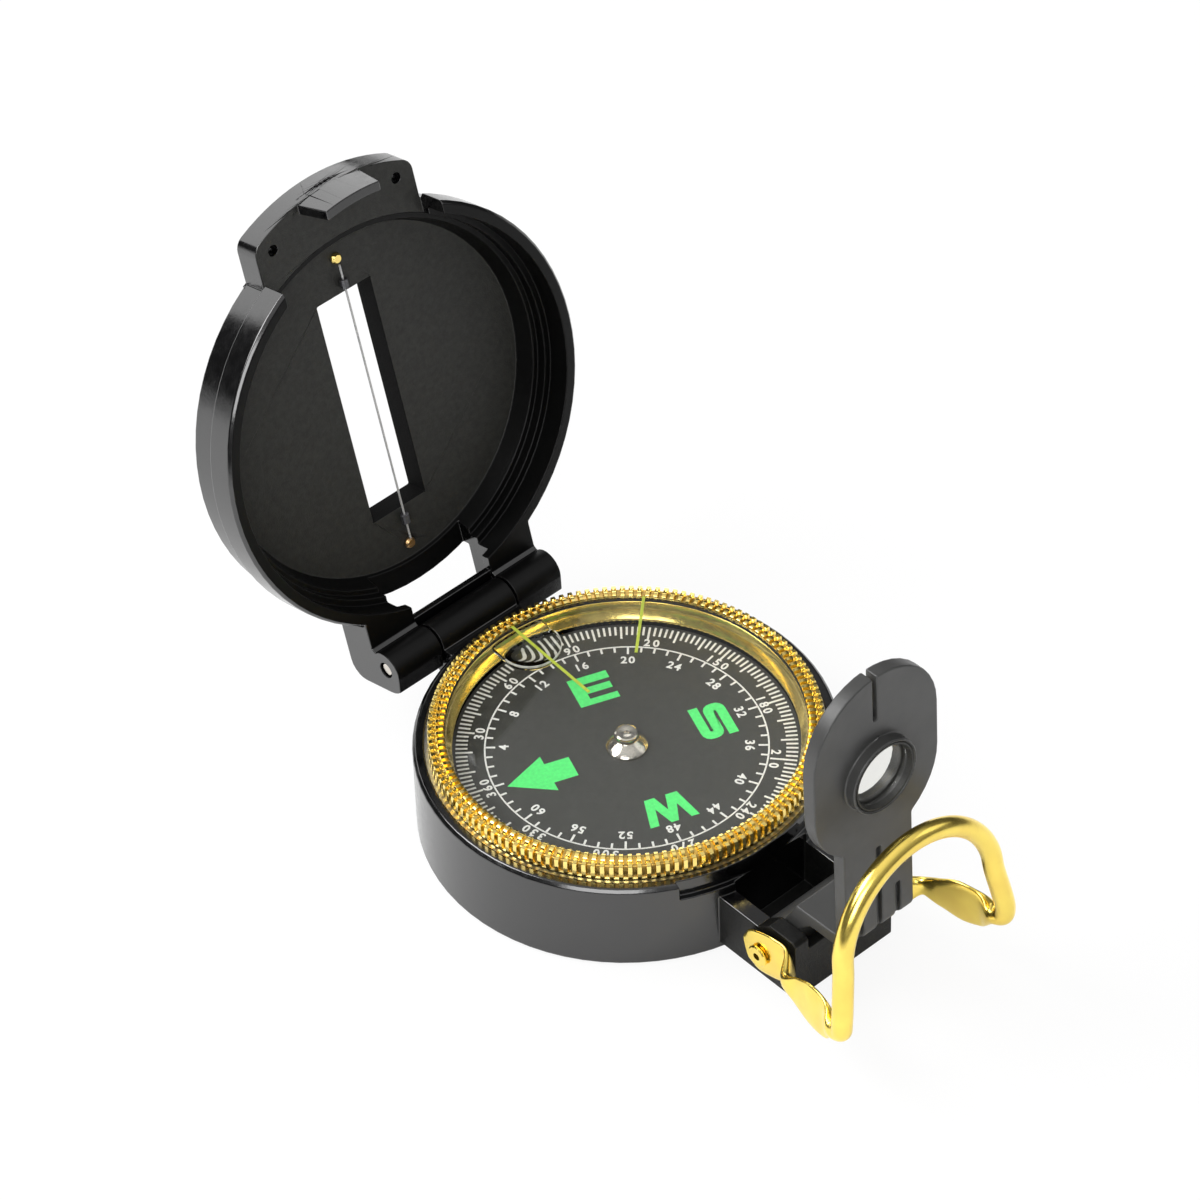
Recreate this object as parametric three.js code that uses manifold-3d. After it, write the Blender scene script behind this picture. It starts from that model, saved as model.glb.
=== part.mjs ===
// A lensatic pocket compass, standing open: a round case with a turning bezel over a floating card,
// a hinged lid with a sighting wire, a folding eyepiece with a lens, and a wire thumb ring.
// Millimetres, +Z up, origin at the middle of the case's flat bottom. The lid hinge is at +Y,
// the eyepiece bracket at -Y. The lid and the eyepiece are each drawn in a frame of their own and turned.

import * as THREE from 'three';
import { mergeVertices } from 'three/addons/utils/BufferGeometryUtils.js';
import Module from 'manifold-3d';

const wasm = await Module();
wasm.setup();

// General clearances
const RUNNING_GAP = 0.3;
const SEAT_GAP = 0.1;
const OVERCUT = 1;
const ROUND_STEPS = 72;
const RING_STEPS = 54;
const LENS_STEPS = 36;
const SMALL_STEPS = 20;

// Case
const CASE_RADIUS = 28.5;
const CASE_HEIGHT = 14;
const CASE_EDGE = 0.5;
const CASE_FLOOR = 1.6;
const RIM_WALL = 1.6;
const LEDGE_WIDTH = 2.6;
const LEDGE_DEPTH = 2.4;
const NOTCH_HALF_WIDTH = 13.6;
const NOTCH_DEPTH = 2.6;
const NOTCH_LIP = 0.7;

// Bezel, its crystal and what is on it
const BEZEL_FOOT_GAP = 0.8;
const BEZEL_PROUD = 2.7;
const BEZEL_SIDE_GAP = 0.5;
const BEZEL_TOP_WIDTH = 1.9;
const BEZEL_LIP_WIDTH = 0.8;
const BEZEL_LIP_HEIGHT = 0.9;
const BEZEL_LIP_EDGE = 0.2;
const CRYSTAL_LEDGE_WIDTH = 0.5;
const KNURL_OVERHANG = 0.3;
const KNURL_HEIGHT = 1.6;
const KNURL_DEPTH = 0.4;
const KNURL_TEETH = 120;
const KNURL_VALLEY = 0.6;
const SNAP_GROOVE_HEIGHT = 0.8;
const SNAP_GROOVE_RISE = 0.6;
const SNAP_GROOVE_DEPTH = 0.5;
const SNAP_RING_THICKNESS = 0.45;
const SNAP_RING_SEAT = 0.15;
const CRYSTAL_LEDGE_DROP = 1.5;
const GASKET_THICKNESS = 0.2;
const CRYSTAL_THICKNESS = 0.8;
const INDEX_AZIMUTH = 3.3;
const INDEX_WIDTH = 0.4;
const INDEX_THICKNESS = 0.12;
const INDEX_INNER_RADIUS = 7.8;
const BEARING_LINE_STEP = 45;
const BEARING_LINE_INNER_RADIUS = 13.5;
const MAGNIFIER_INNER_RADIUS = 16.2;
const MAGNIFIER_HALF_WIDTH = 4.2;
const MAGNIFIER_THICKNESS = 1.5;

// Bezel spring in the case's ledge
const SPRING_WIDTH = 1.2;
const SPRING_THICKNESS = 0.25;
const SPRING_WAVE = 0.12;
const SPRING_WAVES = 3;

// Card, pivot and magnet
const CARD_SIDE_GAP = 1;
const CARD_DROP = 2.4;
const CARD_THICKNESS = 0.6;
const CARD_NORTH_AZIMUTH = -68.8;
const PIVOT_PLATE_THICKNESS = 1;
const POST_RADIUS = 2.4;
const POST_HEIGHT = 2.6;
const NEEDLE_RADIUS = 0.6;
const NEEDLE_POINT_RADIUS = 0.12;
const NEEDLE_POINT_LENGTH = 1.4;
const CAP_HEIGHT = 2.7;
const CAP_SKIRT_RADIUS = 2.8;
const CAP_HEAD_RADIUS = 1.7;
const CAP_SKIRT_HEIGHT = 0.5;
const CAP_WALL = 0.5;
const JEWEL_THICKNESS = 0.6;
const MAGNET_LENGTH = 34;
const MAGNET_WIDTH = 6;
const MAGNET_THICKNESS = 1.4;
const CARD_BORE_RADIUS = 1.5;

// Bracket that carries the eyepiece and the thumb ring
const BRACKET_HALF_WIDTH = 8.7;
const BRACKET_END = -(CASE_RADIUS + 12.9);
const BRACKET_BOTTOM = 1.4;
const BRACKET_ROOT_TOP = 10;
const BRACKET_END_TOP = 11.8;
const BRACKET_END_WALL = 1.5;
const BRACKET_END_WALL_TOP = 9.6;
const POCKET_HALF_WIDTH = 6.3;
const POCKET_FLOOR = 2.6;
const POCKET_BACK_WALL = 0.55;
const BRACKET_STEP = -(CASE_RADIUS + 5.9);
const PIVOT_Y = -(CASE_RADIUS + 7.5);
const PIVOT_Z = 6.9;

// Eyepiece, in a frame of its own: its axis is the origin, the stem rises along +Z and faces -Y
const EYEPIECE_LEAN = 2;
const STEM_HALF_WIDTH = 6;
const STEM_FACE = 12.3;
const STEM_THICKNESS = 2.1;
const DISC_HALF_WIDTH = 10.75;
const DISC_LOW_CENTRE = 32.4;
const DISC_HIGH_CENTRE = 39.75;
const FOOT_BARREL_RADIUS = 3.1;
const FOOT_PLATE_BOTTOM = 6.2;
const FOOT_PLATE_THICKNESS = 2;
const FOOT_PLATE_BACK = 2.9;
const FOOT_CORNER_RADIUS = 1.6;
const NOTCH_SLOT_WIDTH = 0.7;
const NOTCH_SLOT_BOTTOM = 43.2;
const GRIP_GROOVE_WIDTH = 0.9;
const GRIP_GROOVE_DEPTH = 0.9;
const GRIP_GROOVE_PITCH = 3.3;
const GRIP_MIDDLE_TOP = 21.2;
const GRIP_SIDE_TOP = 12.6;
const LENS_CENTRE = 34.6;
const LENS_RADIUS = 4.8;
const LENS_APERTURE_RADIUS = 4.45;
const LENS_THICKNESS = 1;
const LENS_CROWN = 0.35;
const LENS_SEAT_DEPTH = 1.7;
const LENS_BOSS_RADIUS = 5.5;
const LENS_BOSS_HEIGHT = 1.6;
const LENS_RING_WIDTH = 0.5;

// Thumb ring, drawn as it stands at rest
const RING_WIRE_RADIUS = 1.4;
const RING_EAR_HALF_WIDTH = 3.5;
const RING_EAR_THICKNESS = 0.9;
const RING_EAR_TAIL = 2.8;
const RING_EAR_REACH = 5.4;
const RING_PINCH_OFFSET = 7.4;
const RING_PINCH_RISE = 2.4;
const RING_PINCH_X = 12.2;
const RING_PINCH_HALF_WIDTH = 1.3;
const RING_PADDLE_HALF_WIDTH = 3.5;
const RING_PADDLE_TWIST = 10;
const RING_PADDLE_THICKNESS = 1.1;
const RING_CORNER_X = 14.6;
const RING_CORNER_Y = PIVOT_Y - 20.3;
const RING_CORNER_Z = 11.2;
const RING_CORNER_BEND = 2;
const RING_LEG_LENGTH = 9.5;
const RING_ARCH_HALF_WIDTH = 13.4;
const RING_ARCH_RISE = 13.1;
const RING_ARCH_LEAN = 8;
const RING_SIDES = 10;

// Rivets that hold the ring's ears and the eyepiece's foot
const RIVET_RADIUS = 1;
const RIVET_BORE_RADIUS = 0.55;
const RIVET_HEAD_RADIUS = 1.6;
const RIVET_HEAD_THICKNESS = 0.35;
const RIVET_DEPTH_IN_FOOT = 2.2;

// Lid hinge
const HINGE_Y = CASE_RADIUS + 3.35;
const HINGE_Z = 13.54;
const BARREL_RADIUS = 2.7;
const BARREL_HALF_LENGTH = 6.6;
const KNUCKLE_END = 14.7;
const HINGE_PIN_RADIUS = 0.85;
const LUG_BOTTOM = 7.5;

// Lid, in the frame of the closed compass
const LID_ANGLE = 105;
const LID_TOP = 25.2;
const LID_RIM = 15.6;
const LID_RADIUS = CASE_RADIUS;
const LID_FLANGE_RADIUS = LID_RADIUS + 1;
const LID_FLANGE_TOP = 20.2;
const LID_EDGE = 0.8;
const LID_FLOOR = 23.25;
const LID_MOUTH_RADIUS = LID_RADIUS - 0.8;
const LID_STEP_HEIGHT = 19.1;
const LID_STEP_RADIUS = LID_RADIUS - 1.8;
const LID_INNER_STEP_HEIGHT = 20.6;
const LID_INNER_STEP_RADIUS = LID_RADIUS - 2.6;
const LID_FLOOR_RADIUS = LID_RADIUS - 3.5;
const LID_WINDOW_HALF_WIDTH = 8.2;
const LID_WINDOW_LOW = 17.1;
const LID_WINDOW_HIGH = 22.7;
const HINGE_BAR_INNER = LID_RADIUS + 0.35;
const HINGE_BAR_OUTER = LID_RADIUS + 1.65;
const HINGE_BAR_LOW = 15.95;
const HINGE_BAR_LIP = 1.2;
const HINGE_BAR_LIP_RISE = 0.55;
const TAB_HALF_WIDTH = 13.5;
const TAB_BOTTOM = 20.4;
const TAB_TOP = 24.5;
const TAB_END = -(LID_RADIUS + 5.9);
const TAB_END_RADIUS = 29;
const TAB_CORNER_RADIUS = 2;
const TAB_BACK = -LID_FLOOR_RADIUS;
const TAB_HOLE_X = 10.6;
const TAB_HOLE_Y = -(LID_RADIUS + 1.3);
const TAB_HOLE_RADIUS = 0.75;
const TAB_HOLE_DEPTH = 1.6;
const TONGUE_ROOT_HALF_WIDTH = 5.3;
const TONGUE_TIP_HALF_WIDTH = 4.5;
const TONGUE_TIP = 15.1;
const TONGUE_THICKNESS = 1.4;
const ARM_TOP = 21.6;
const ARM_REACH = 3.65;
const ARM_CORNER = 2.6;
const SLOT_HALF_WIDTH = 4.6;
const SLOT_LOW_END = -(LID_RADIUS - 11.5);
const SLOT_HIGH_END = LID_RADIUS - 11.4;
const SLOT_FRAME_WIDTH = 1.6;
const SLOT_FRAME_HEIGHT = 1.8;
const SLOT_FRAME_EDGE = 0.5;
const WIRE_RADIUS = 0.15;
const WIRE_PIN_LOW = -(LID_RADIUS - 6.2);
const WIRE_PIN_HIGH = LID_RADIUS - 5.7;
const WIRE_PIN_RADIUS = 0.5;
const WIRE_PIN_HEAD_RADIUS = 0.8;
const WIRE_PIN_HEAD_HEIGHT = 0.6;
const WIRE_PIN_DEPTH = 1.2;
const CRIMP_RADIUS = 0.6;
const CRIMP_LENGTH = 1.3;
const CRIMP_OFFSET = 1.6;

// Heights and radii that follow from the sizes above
const RECESS_RADIUS = CASE_RADIUS - RIM_WALL;
const WELL_RADIUS = RECESS_RADIUS - LEDGE_WIDTH;
const LEDGE_HEIGHT = CASE_HEIGHT - LEDGE_DEPTH;
const NOTCH_HEIGHT = CASE_HEIGHT - NOTCH_DEPTH;
const BEZEL_RADIUS = RECESS_RADIUS - BEZEL_SIDE_GAP;
const BEZEL_SKIRT_RADIUS = BEZEL_RADIUS - KNURL_OVERHANG;
const BEZEL_MOUTH_RADIUS = BEZEL_RADIUS - BEZEL_TOP_WIDTH;
const BEZEL_THROAT_RADIUS = BEZEL_MOUTH_RADIUS - CRYSTAL_LEDGE_WIDTH;
const BEZEL_TOP = CASE_HEIGHT + BEZEL_PROUD;
const BEZEL_FOOT = LEDGE_HEIGHT + BEZEL_FOOT_GAP;
const BEZEL_LEDGE = BEZEL_TOP - CRYSTAL_LEDGE_DROP;
const CRYSTAL_BOTTOM = BEZEL_LEDGE + GASKET_THICKNESS;
const CRYSTAL_TOP = CRYSTAL_BOTTOM + CRYSTAL_THICKNESS;
const CRYSTAL_RADIUS = BEZEL_MOUTH_RADIUS - SEAT_GAP;
const SPRING_INNER_RADIUS = WELL_RADIUS + RUNNING_GAP;
const PIVOT_PLATE_RADIUS = WELL_RADIUS - RUNNING_GAP;
const CARD_RADIUS = WELL_RADIUS - CARD_SIDE_GAP;
const CARD_TOP = CASE_HEIGHT - CARD_DROP;
const CAP_TOP = CARD_TOP + CAP_HEIGHT;
const CARD_BOTTOM = CARD_TOP - CARD_THICKNESS;
const POCKET_BACK = -(RECESS_RADIUS + POCKET_BACK_WALL);
const KNUCKLE_START = BARREL_HALF_LENGTH + RUNNING_GAP;
const PIN_BORE_RADIUS = HINGE_PIN_RADIUS + RUNNING_GAP;
const RIVET_HOLE_RADIUS = RIVET_RADIUS + RUNNING_GAP;
const FOOT_PLATE_TOP = FOOT_PLATE_BOTTOM + FOOT_PLATE_THICKNESS;
const STEM_BACK = STEM_FACE - STEM_THICKNESS;
const EAR_X = BRACKET_HALF_WIDTH + RUNNING_GAP + RING_EAR_THICKNESS / 2;

// Finishes
const PLASTIC = { color: '#1c1c1d', roughness: 0.38, metalness: 0 };
const MATTE_PLASTIC = { color: '#252524', roughness: 0.6, metalness: 0 };
const GREY_PLASTIC = { color: '#444443', roughness: 0.45, metalness: 0 };
const GOLD = { color: '#d8ab3a', roughness: 0.3, metalness: 1 };
const BRASS = { color: '#b8894a', roughness: 0.35, metalness: 1 };
const STEEL = { color: '#a9abae', roughness: 0.3, metalness: 1 };
const CHROME = { color: '#dfe1e3', roughness: 0.08, metalness: 1 };
const CARD_BLACK = { color: '#3f3f3b', roughness: 0.75, metalness: 0 };
const MAGNET_GREY = { color: '#5a5c60', roughness: 0.5, metalness: 0.8 };
const RUBBER = { color: '#151515', roughness: 0.9, metalness: 0 };
const CLEAR = { color: '#f4f8f8', roughness: 0.03, metalness: 0, transparent: true, opacity: 0.25 };
const JEWEL_RED = { color: '#a52a3a', roughness: 0.1, metalness: 0, transparent: true, opacity: 0.8 };
const INDEX_GREEN = { color: '#a9b53c', roughness: 0.5, metalness: 0 };

const radians = THREE.MathUtils.degToRad;

// Turns a three.js geometry into a closed solid: shared corners are merged, collapsed faces are
// dropped, and faces that point inwards are turned round
function solidFrom(geometry) {
  const bare = geometry.clone();
  bare.deleteAttribute('normal');
  bare.deleteAttribute('uv');
  const merged = mergeVertices(bare, 1e-5);
  const corner = merged.attributes.position;
  const triangles = [];
  let volume = 0;
  for (let i = 0; i < merged.index.count; i += 3) {
    const [a, b, c] = [0, 1, 2].map((k) => merged.index.getX(i + k));
    if (a === b || b === c || c === a) continue;
    triangles.push([a, b, c]);
    const [p, q, r] = [a, b, c].map((k) => new THREE.Vector3().fromBufferAttribute(corner, k));
    volume += p.dot(q.cross(r));
  }
  const ordered = volume < 0 ? triangles.map(([a, b, c]) => [a, c, b]) : triangles;
  return new wasm.Manifold(new wasm.Mesh({
    numProp: 3,
    vertProperties: new Float32Array(corner.array),
    triVerts: new Uint32Array(ordered.flat()),
  }));
}

function geometryFrom(solid) {
  const mesh = solid.getMesh();
  const geometry = new THREE.BufferGeometry();
  geometry.setAttribute('position', new THREE.BufferAttribute(new Float32Array(mesh.vertProperties), 3));
  geometry.setIndex(new THREE.BufferAttribute(new Uint32Array(mesh.triVerts), 1));
  geometry.computeVertexNormals();
  return geometry;
}

function joined(first, ...others) {
  return others.reduce((whole, piece) => whole.add(piece), first);
}

function cut(first, ...others) {
  return others.reduce((whole, piece) => whole.subtract(piece), first);
}

// A turned solid about +Z from a profile of [radius, height] pairs; a ring's profile closes on itself
function turned(profile, steps = ROUND_STEPS) {
  const onAxis = profile[0][0] === 0;
  const points = (onAxis ? profile : [...profile, profile[0]]).map(([r, z]) => new THREE.Vector2(r, z));
  return solidFrom(new THREE.LatheGeometry(points, steps).rotateX(Math.PI / 2));
}

function washer(inner, outer, low, high, steps = ROUND_STEPS) {
  return turned([[inner, low], [outer, low], [outer, high], [inner, high]], steps);
}

function disc(radius, low, high, steps = ROUND_STEPS) {
  return turned([[0, low], [radius, low], [radius, high], [0, high]], steps);
}

function block(x0, x1, y0, y1, z0, z1) {
  const box = new THREE.BoxGeometry(x1 - x0, y1 - y0, z1 - z0);
  return solidFrom(box.translate((x0 + x1) / 2, (y0 + y1) / 2, (z0 + z1) / 2));
}

function rodAlongX(radius, x0, x1, y, z, steps = SMALL_STEPS) {
  const rod = new THREE.CylinderGeometry(radius, radius, x1 - x0, steps).rotateZ(Math.PI / 2);
  return solidFrom(rod.translate((x0 + x1) / 2, y, z));
}

function rodAlongY(radius, y0, y1, x, z, steps = SMALL_STEPS) {
  return solidFrom(new THREE.CylinderGeometry(radius, radius, y1 - y0, steps).translate(x, (y0 + y1) / 2, z));
}

function rodAlongZ(radius, z0, z1, x, y, steps = SMALL_STEPS) {
  return disc(radius, z0, z1, steps).translate([x, y, 0]);
}

// An outline drawn in the Y-Z plane, carried along X
function plateAlongX(outline, x0, x1) {
  const shape = new THREE.Shape(outline.map(([y, z]) => new THREE.Vector2(y, z)));
  const plate = new THREE.ExtrudeGeometry(shape, { depth: x1 - x0, bevelEnabled: false });
  const turn = new THREE.Matrix4().makeBasis(
    new THREE.Vector3(0, 1, 0), new THREE.Vector3(0, 0, 1), new THREE.Vector3(1, 0, 0));
  return solidFrom(plate.applyMatrix4(turn).translate(x0, 0, 0));
}

// An outline drawn in the X-Z plane, carried along Y from the front face to the back face
function plateAlongY(outline, front, back) {
  const shape = new THREE.Shape(outline.map(([x, z]) => new THREE.Vector2(x, z)));
  const plate = new THREE.ExtrudeGeometry(shape, { depth: back - front, bevelEnabled: false });
  const turn = new THREE.Matrix4().makeBasis(
    new THREE.Vector3(1, 0, 0), new THREE.Vector3(0, 0, 1), new THREE.Vector3(0, -1, 0));
  return solidFrom(plate.applyMatrix4(turn).translate(0, back, 0));
}

function plateAlongZ(outline, z0, z1) {
  const shape = new THREE.Shape(outline.map(([x, y]) => new THREE.Vector2(x, y)));
  return solidFrom(new THREE.ExtrudeGeometry(shape, { depth: z1 - z0, bevelEnabled: false }).translate(0, 0, z0));
}

// Points of an arc from one angle to another, in degrees
function arc(centreX, centreY, radius, from, to, steps) {
  return Array.from({ length: steps + 1 }, (_, i) => {
    const angle = radians(from + ((to - from) * i) / steps);
    return [centreX + radius * Math.cos(angle), centreY + radius * Math.sin(angle)];
  });
}

// Closes rings of points into one skin: each ring is joined to the next, and the last one is joined
// to the first, or each end is closed with a fan
function skinned(rings, endless) {
  const sides = rings[0].length;
  const corners = rings.flat();
  const index = [];
  const spans = endless ? rings.length : rings.length - 1;
  for (let i = 0; i < spans; i += 1) {
    const next = (i + 1) % rings.length;
    for (let k = 0; k < sides; k += 1) {
      const [a, b] = [i * sides + k, i * sides + ((k + 1) % sides)];
      const [c, d] = [next * sides + k, next * sides + ((k + 1) % sides)];
      index.push(a, b, d, a, d, c);
    }
  }
  if (!endless) {
    for (const [ring, flip] of [[0, true], [rings.length - 1, false]]) {
      const centre = rings[ring].reduce((sum, p) => sum.add(p), new THREE.Vector3()).divideScalar(sides);
      corners.push(centre);
      const middle = corners.length - 1;
      for (let k = 0; k < sides; k += 1) {
        const [a, b] = [ring * sides + k, ring * sides + ((k + 1) % sides)];
        index.push(middle, ...(flip ? [b, a] : [a, b]));
      }
    }
  }
  const geometry = new THREE.BufferGeometry();
  geometry.setAttribute('position', new THREE.Float32BufferAttribute(corners.flatMap((p) => p.toArray()), 3));
  geometry.setIndex(index);
  return solidFrom(geometry);
}

// A ring about +Z whose profile changes from step to step
function wavyRing(profileAt, steps) {
  const rings = Array.from({ length: steps }, (_, i) => {
    const angle = (2 * Math.PI * i) / steps;
    return profileAt(i, angle).map(([r, z]) => new THREE.Vector3(r * Math.cos(angle), r * Math.sin(angle), z));
  });
  return skinned(rings, true);
}

function mesh(name, solid, finish) {
  const piece = new THREE.Mesh(geometryFrom(solid), new THREE.MeshStandardMaterial(finish));
  piece.name = name;
  return piece;
}

// Case: a turned cup with a ledge for the bezel, a bracket at the front and a hinge barrel at the back
function caseShell() {
  const cup = turned([
    [0, 0], [CASE_RADIUS - CASE_EDGE, 0], [CASE_RADIUS, CASE_EDGE],
    [CASE_RADIUS, CASE_HEIGHT - CASE_EDGE], [CASE_RADIUS - CASE_EDGE, CASE_HEIGHT],
    [RECESS_RADIUS, CASE_HEIGHT], [RECESS_RADIUS, LEDGE_HEIGHT], [WELL_RADIUS, LEDGE_HEIGHT],
    [WELL_RADIUS, CASE_FLOOR], [0, CASE_FLOOR],
  ]);
  const root = -(RECESS_RADIUS - RIM_WALL / 2);
  const bracket = plateAlongX([
    [root, BRACKET_BOTTOM], [BRACKET_END, BRACKET_BOTTOM], [BRACKET_END, BRACKET_END_TOP - CASE_EDGE],
    [BRACKET_END + CASE_EDGE, BRACKET_END_TOP], [PIVOT_Y - CASE_EDGE, BRACKET_END_TOP],
    [BRACKET_STEP, BRACKET_ROOT_TOP], [root, BRACKET_ROOT_TOP],
  ], -BRACKET_HALF_WIDTH, BRACKET_HALF_WIDTH);
  const lugTop = CASE_HEIGHT - CASE_EDGE / 2;
  const lug = plateAlongX([
    [RECESS_RADIUS + RIM_WALL / 2, LUG_BOTTOM], [CASE_RADIUS, LUG_BOTTOM],
    [HINGE_Y + BARREL_RADIUS / 2, HINGE_Z - BARREL_RADIUS + CASE_EDGE],
    [HINGE_Y, HINGE_Z], [HINGE_Y - BARREL_RADIUS / 2, lugTop], [RECESS_RADIUS + RIM_WALL / 2, lugTop],
  ], -BARREL_HALF_LENGTH, BARREL_HALF_LENGTH);
  const barrel = rodAlongX(BARREL_RADIUS, -BARREL_HALF_LENGTH, BARREL_HALF_LENGTH, HINGE_Y, HINGE_Z);
  const pinBore = rodAlongX(PIN_BORE_RADIUS, -KNUCKLE_END, KNUCKLE_END, HINGE_Y, HINGE_Z);
  const pocket = block(
    -POCKET_HALF_WIDTH, POCKET_HALF_WIDTH, BRACKET_END + BRACKET_END_WALL, POCKET_BACK,
    POCKET_FLOOR, CASE_HEIGHT + OVERCUT);
  const endWallCut = block(
    -POCKET_HALF_WIDTH, POCKET_HALF_WIDTH, BRACKET_END - OVERCUT, BRACKET_END + BRACKET_END_WALL + OVERCUT,
    BRACKET_END_WALL_TOP, CASE_HEIGHT + OVERCUT);
  const rivetBore = rodAlongX(RIVET_HOLE_RADIUS, -CASE_RADIUS, CASE_RADIUS, PIVOT_Y, PIVOT_Z);
  const notch = cut(
    block(-NOTCH_HALF_WIDTH, NOTCH_HALF_WIDTH, -CASE_RADIUS - OVERCUT, 0, NOTCH_HEIGHT, CASE_HEIGHT + OVERCUT),
    disc(RECESS_RADIUS + NOTCH_LIP, 0, CASE_HEIGHT + 2 * OVERCUT));
  const [grooveLow, grooveHigh] = snapGroove();
  const snapSeat = washer(
    RECESS_RADIUS - OVERCUT, RECESS_RADIUS + SNAP_RING_SEAT + SEAT_GAP, grooveLow, grooveHigh);
  return cut(joined(cut(cup, notch), bracket, lug, barrel), pinBore, pocket, endWallCut, rivetBore, snapSeat);
}

// Low and high faces of the groove that the case and the bezel share for the snap ring
function snapGroove() {
  const low = BEZEL_FOOT + SNAP_GROOVE_RISE;
  return [low, low + SNAP_GROOVE_HEIGHT];
}

// Card, its magnet, the jewelled cap and the pivot that carries them
function pivotPlate() {
  return disc(PIVOT_PLATE_RADIUS, CASE_FLOOR, CASE_FLOOR + PIVOT_PLATE_THICKNESS);
}

function pivotPost() {
  const low = CASE_FLOOR + PIVOT_PLATE_THICKNESS;
  const high = low + POST_HEIGHT;
  const bore = NEEDLE_RADIUS + SEAT_GAP;
  return turned([
    [bore, low], [POST_RADIUS, low], [POST_RADIUS, high - CASE_EDGE], [POST_RADIUS - CASE_EDGE, high], [bore, high],
  ], SMALL_STEPS);
}

function pivotNeedle() {
  const low = CASE_FLOOR + PIVOT_PLATE_THICKNESS;
  const tip = CAP_TOP - CAP_WALL - JEWEL_THICKNESS - SEAT_GAP;
  return turned([
    [0, low], [NEEDLE_RADIUS, low], [NEEDLE_RADIUS, tip - NEEDLE_POINT_LENGTH], [NEEDLE_POINT_RADIUS, tip], [0, tip],
  ], SMALL_STEPS);
}

function compassCard() {
  return washer(CARD_BORE_RADIUS, CARD_RADIUS, CARD_BOTTOM, CARD_TOP);
}

function cardMagnet() {
  const bar = block(
    -MAGNET_WIDTH / 2, MAGNET_WIDTH / 2, -MAGNET_LENGTH / 2, MAGNET_LENGTH / 2,
    CARD_BOTTOM - MAGNET_THICKNESS, CARD_BOTTOM);
  const bore = rodAlongZ(CARD_BORE_RADIUS, CARD_BOTTOM - MAGNET_THICKNESS - OVERCUT, CARD_TOP, 0, 0);
  return cut(bar, bore).rotate([0, 0, -CARD_NORTH_AZIMUTH]);
}

function jewelCap() {
  const hollow = CAP_HEAD_RADIUS - CAP_WALL;
  const ceiling = CAP_TOP - CAP_WALL;
  return turned([
    [0, CAP_TOP], [CAP_HEAD_RADIUS - CAP_WALL, CAP_TOP], [CAP_HEAD_RADIUS, CAP_TOP - CAP_WALL],
    [CAP_HEAD_RADIUS, CARD_TOP + 2 * CAP_SKIRT_HEIGHT], [CAP_SKIRT_RADIUS, CARD_TOP + CAP_SKIRT_HEIGHT],
    [CAP_SKIRT_RADIUS, CARD_TOP], [hollow, CARD_TOP], [hollow, ceiling], [0, ceiling],
  ], SMALL_STEPS);
}

function jewelBearing() {
  const ceiling = CAP_TOP - CAP_WALL;
  return disc(CAP_HEAD_RADIUS - CAP_WALL - SEAT_GAP, ceiling - JEWEL_THICKNESS, ceiling, SMALL_STEPS);
}

// Bezel: a plain skirt with a snap groove and a sloping lip inside its foot, and two knurled rows
// parted by a valley on its top
function bezelRing() {
  const [grooveLow, grooveHigh] = snapGroove();
  const grooveRadius = BEZEL_SKIRT_RADIUS - SNAP_GROOVE_DEPTH;
  const flange = BEZEL_TOP - KNURL_HEIGHT;
  const skirt = turned([
    [BEZEL_THROAT_RADIUS - BEZEL_LIP_WIDTH, BEZEL_FOOT], [BEZEL_SKIRT_RADIUS, BEZEL_FOOT],
    [BEZEL_SKIRT_RADIUS, grooveLow],
    [grooveRadius, grooveLow], [grooveRadius, grooveHigh], [BEZEL_SKIRT_RADIUS, grooveHigh],
    [BEZEL_SKIRT_RADIUS, flange + SEAT_GAP], [BEZEL_MOUTH_RADIUS, flange + SEAT_GAP],
    [BEZEL_MOUTH_RADIUS, BEZEL_LEDGE], [BEZEL_THROAT_RADIUS, BEZEL_LEDGE],
    [BEZEL_THROAT_RADIUS, BEZEL_FOOT + BEZEL_LIP_HEIGHT],
    [BEZEL_THROAT_RADIUS - BEZEL_LIP_WIDTH, BEZEL_FOOT + BEZEL_LIP_EDGE],
  ]);
  const valley = BEZEL_TOP - KNURL_VALLEY;
  const crown = wavyRing((i) => {
    const dip = i % 2 === 0 ? 0 : KNURL_DEPTH;
    return [
      [BEZEL_MOUTH_RADIUS, flange], [BEZEL_MOUTH_RADIUS, BEZEL_TOP - dip / 2],
      [BEZEL_MOUTH_RADIUS + BEZEL_TOP_WIDTH / 2, valley],
      [BEZEL_RADIUS - dip - KNURL_OVERHANG, BEZEL_TOP - KNURL_DEPTH],
      [BEZEL_RADIUS - dip, flange],
    ];
  }, 2 * KNURL_TEETH);
  return joined(skirt, crown);
}

function snapRing() {
  const [low, high] = snapGroove();
  const middle = (low + high) / 2;
  const inner = BEZEL_SKIRT_RADIUS - SNAP_GROOVE_DEPTH + SNAP_RING_SEAT;
  return washer(
    inner, RECESS_RADIUS + SNAP_RING_SEAT, middle - SNAP_RING_THICKNESS / 2, middle + SNAP_RING_THICKNESS / 2,
    RING_STEPS);
}

function bezelSpring() {
  return wavyRing((i, angle) => {
    const low = LEDGE_HEIGHT + SPRING_WAVE * (1 - Math.cos(SPRING_WAVES * angle));
    const outer = SPRING_INNER_RADIUS + SPRING_WIDTH;
    return [
      [SPRING_INNER_RADIUS, low], [outer, low], [outer, low + SPRING_THICKNESS],
      [SPRING_INNER_RADIUS, low + SPRING_THICKNESS],
    ];
  }, RING_STEPS);
}

function crystalGasket() {
  return washer(BEZEL_THROAT_RADIUS + SEAT_GAP, CRYSTAL_RADIUS, BEZEL_LEDGE, CRYSTAL_BOTTOM);
}

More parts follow.
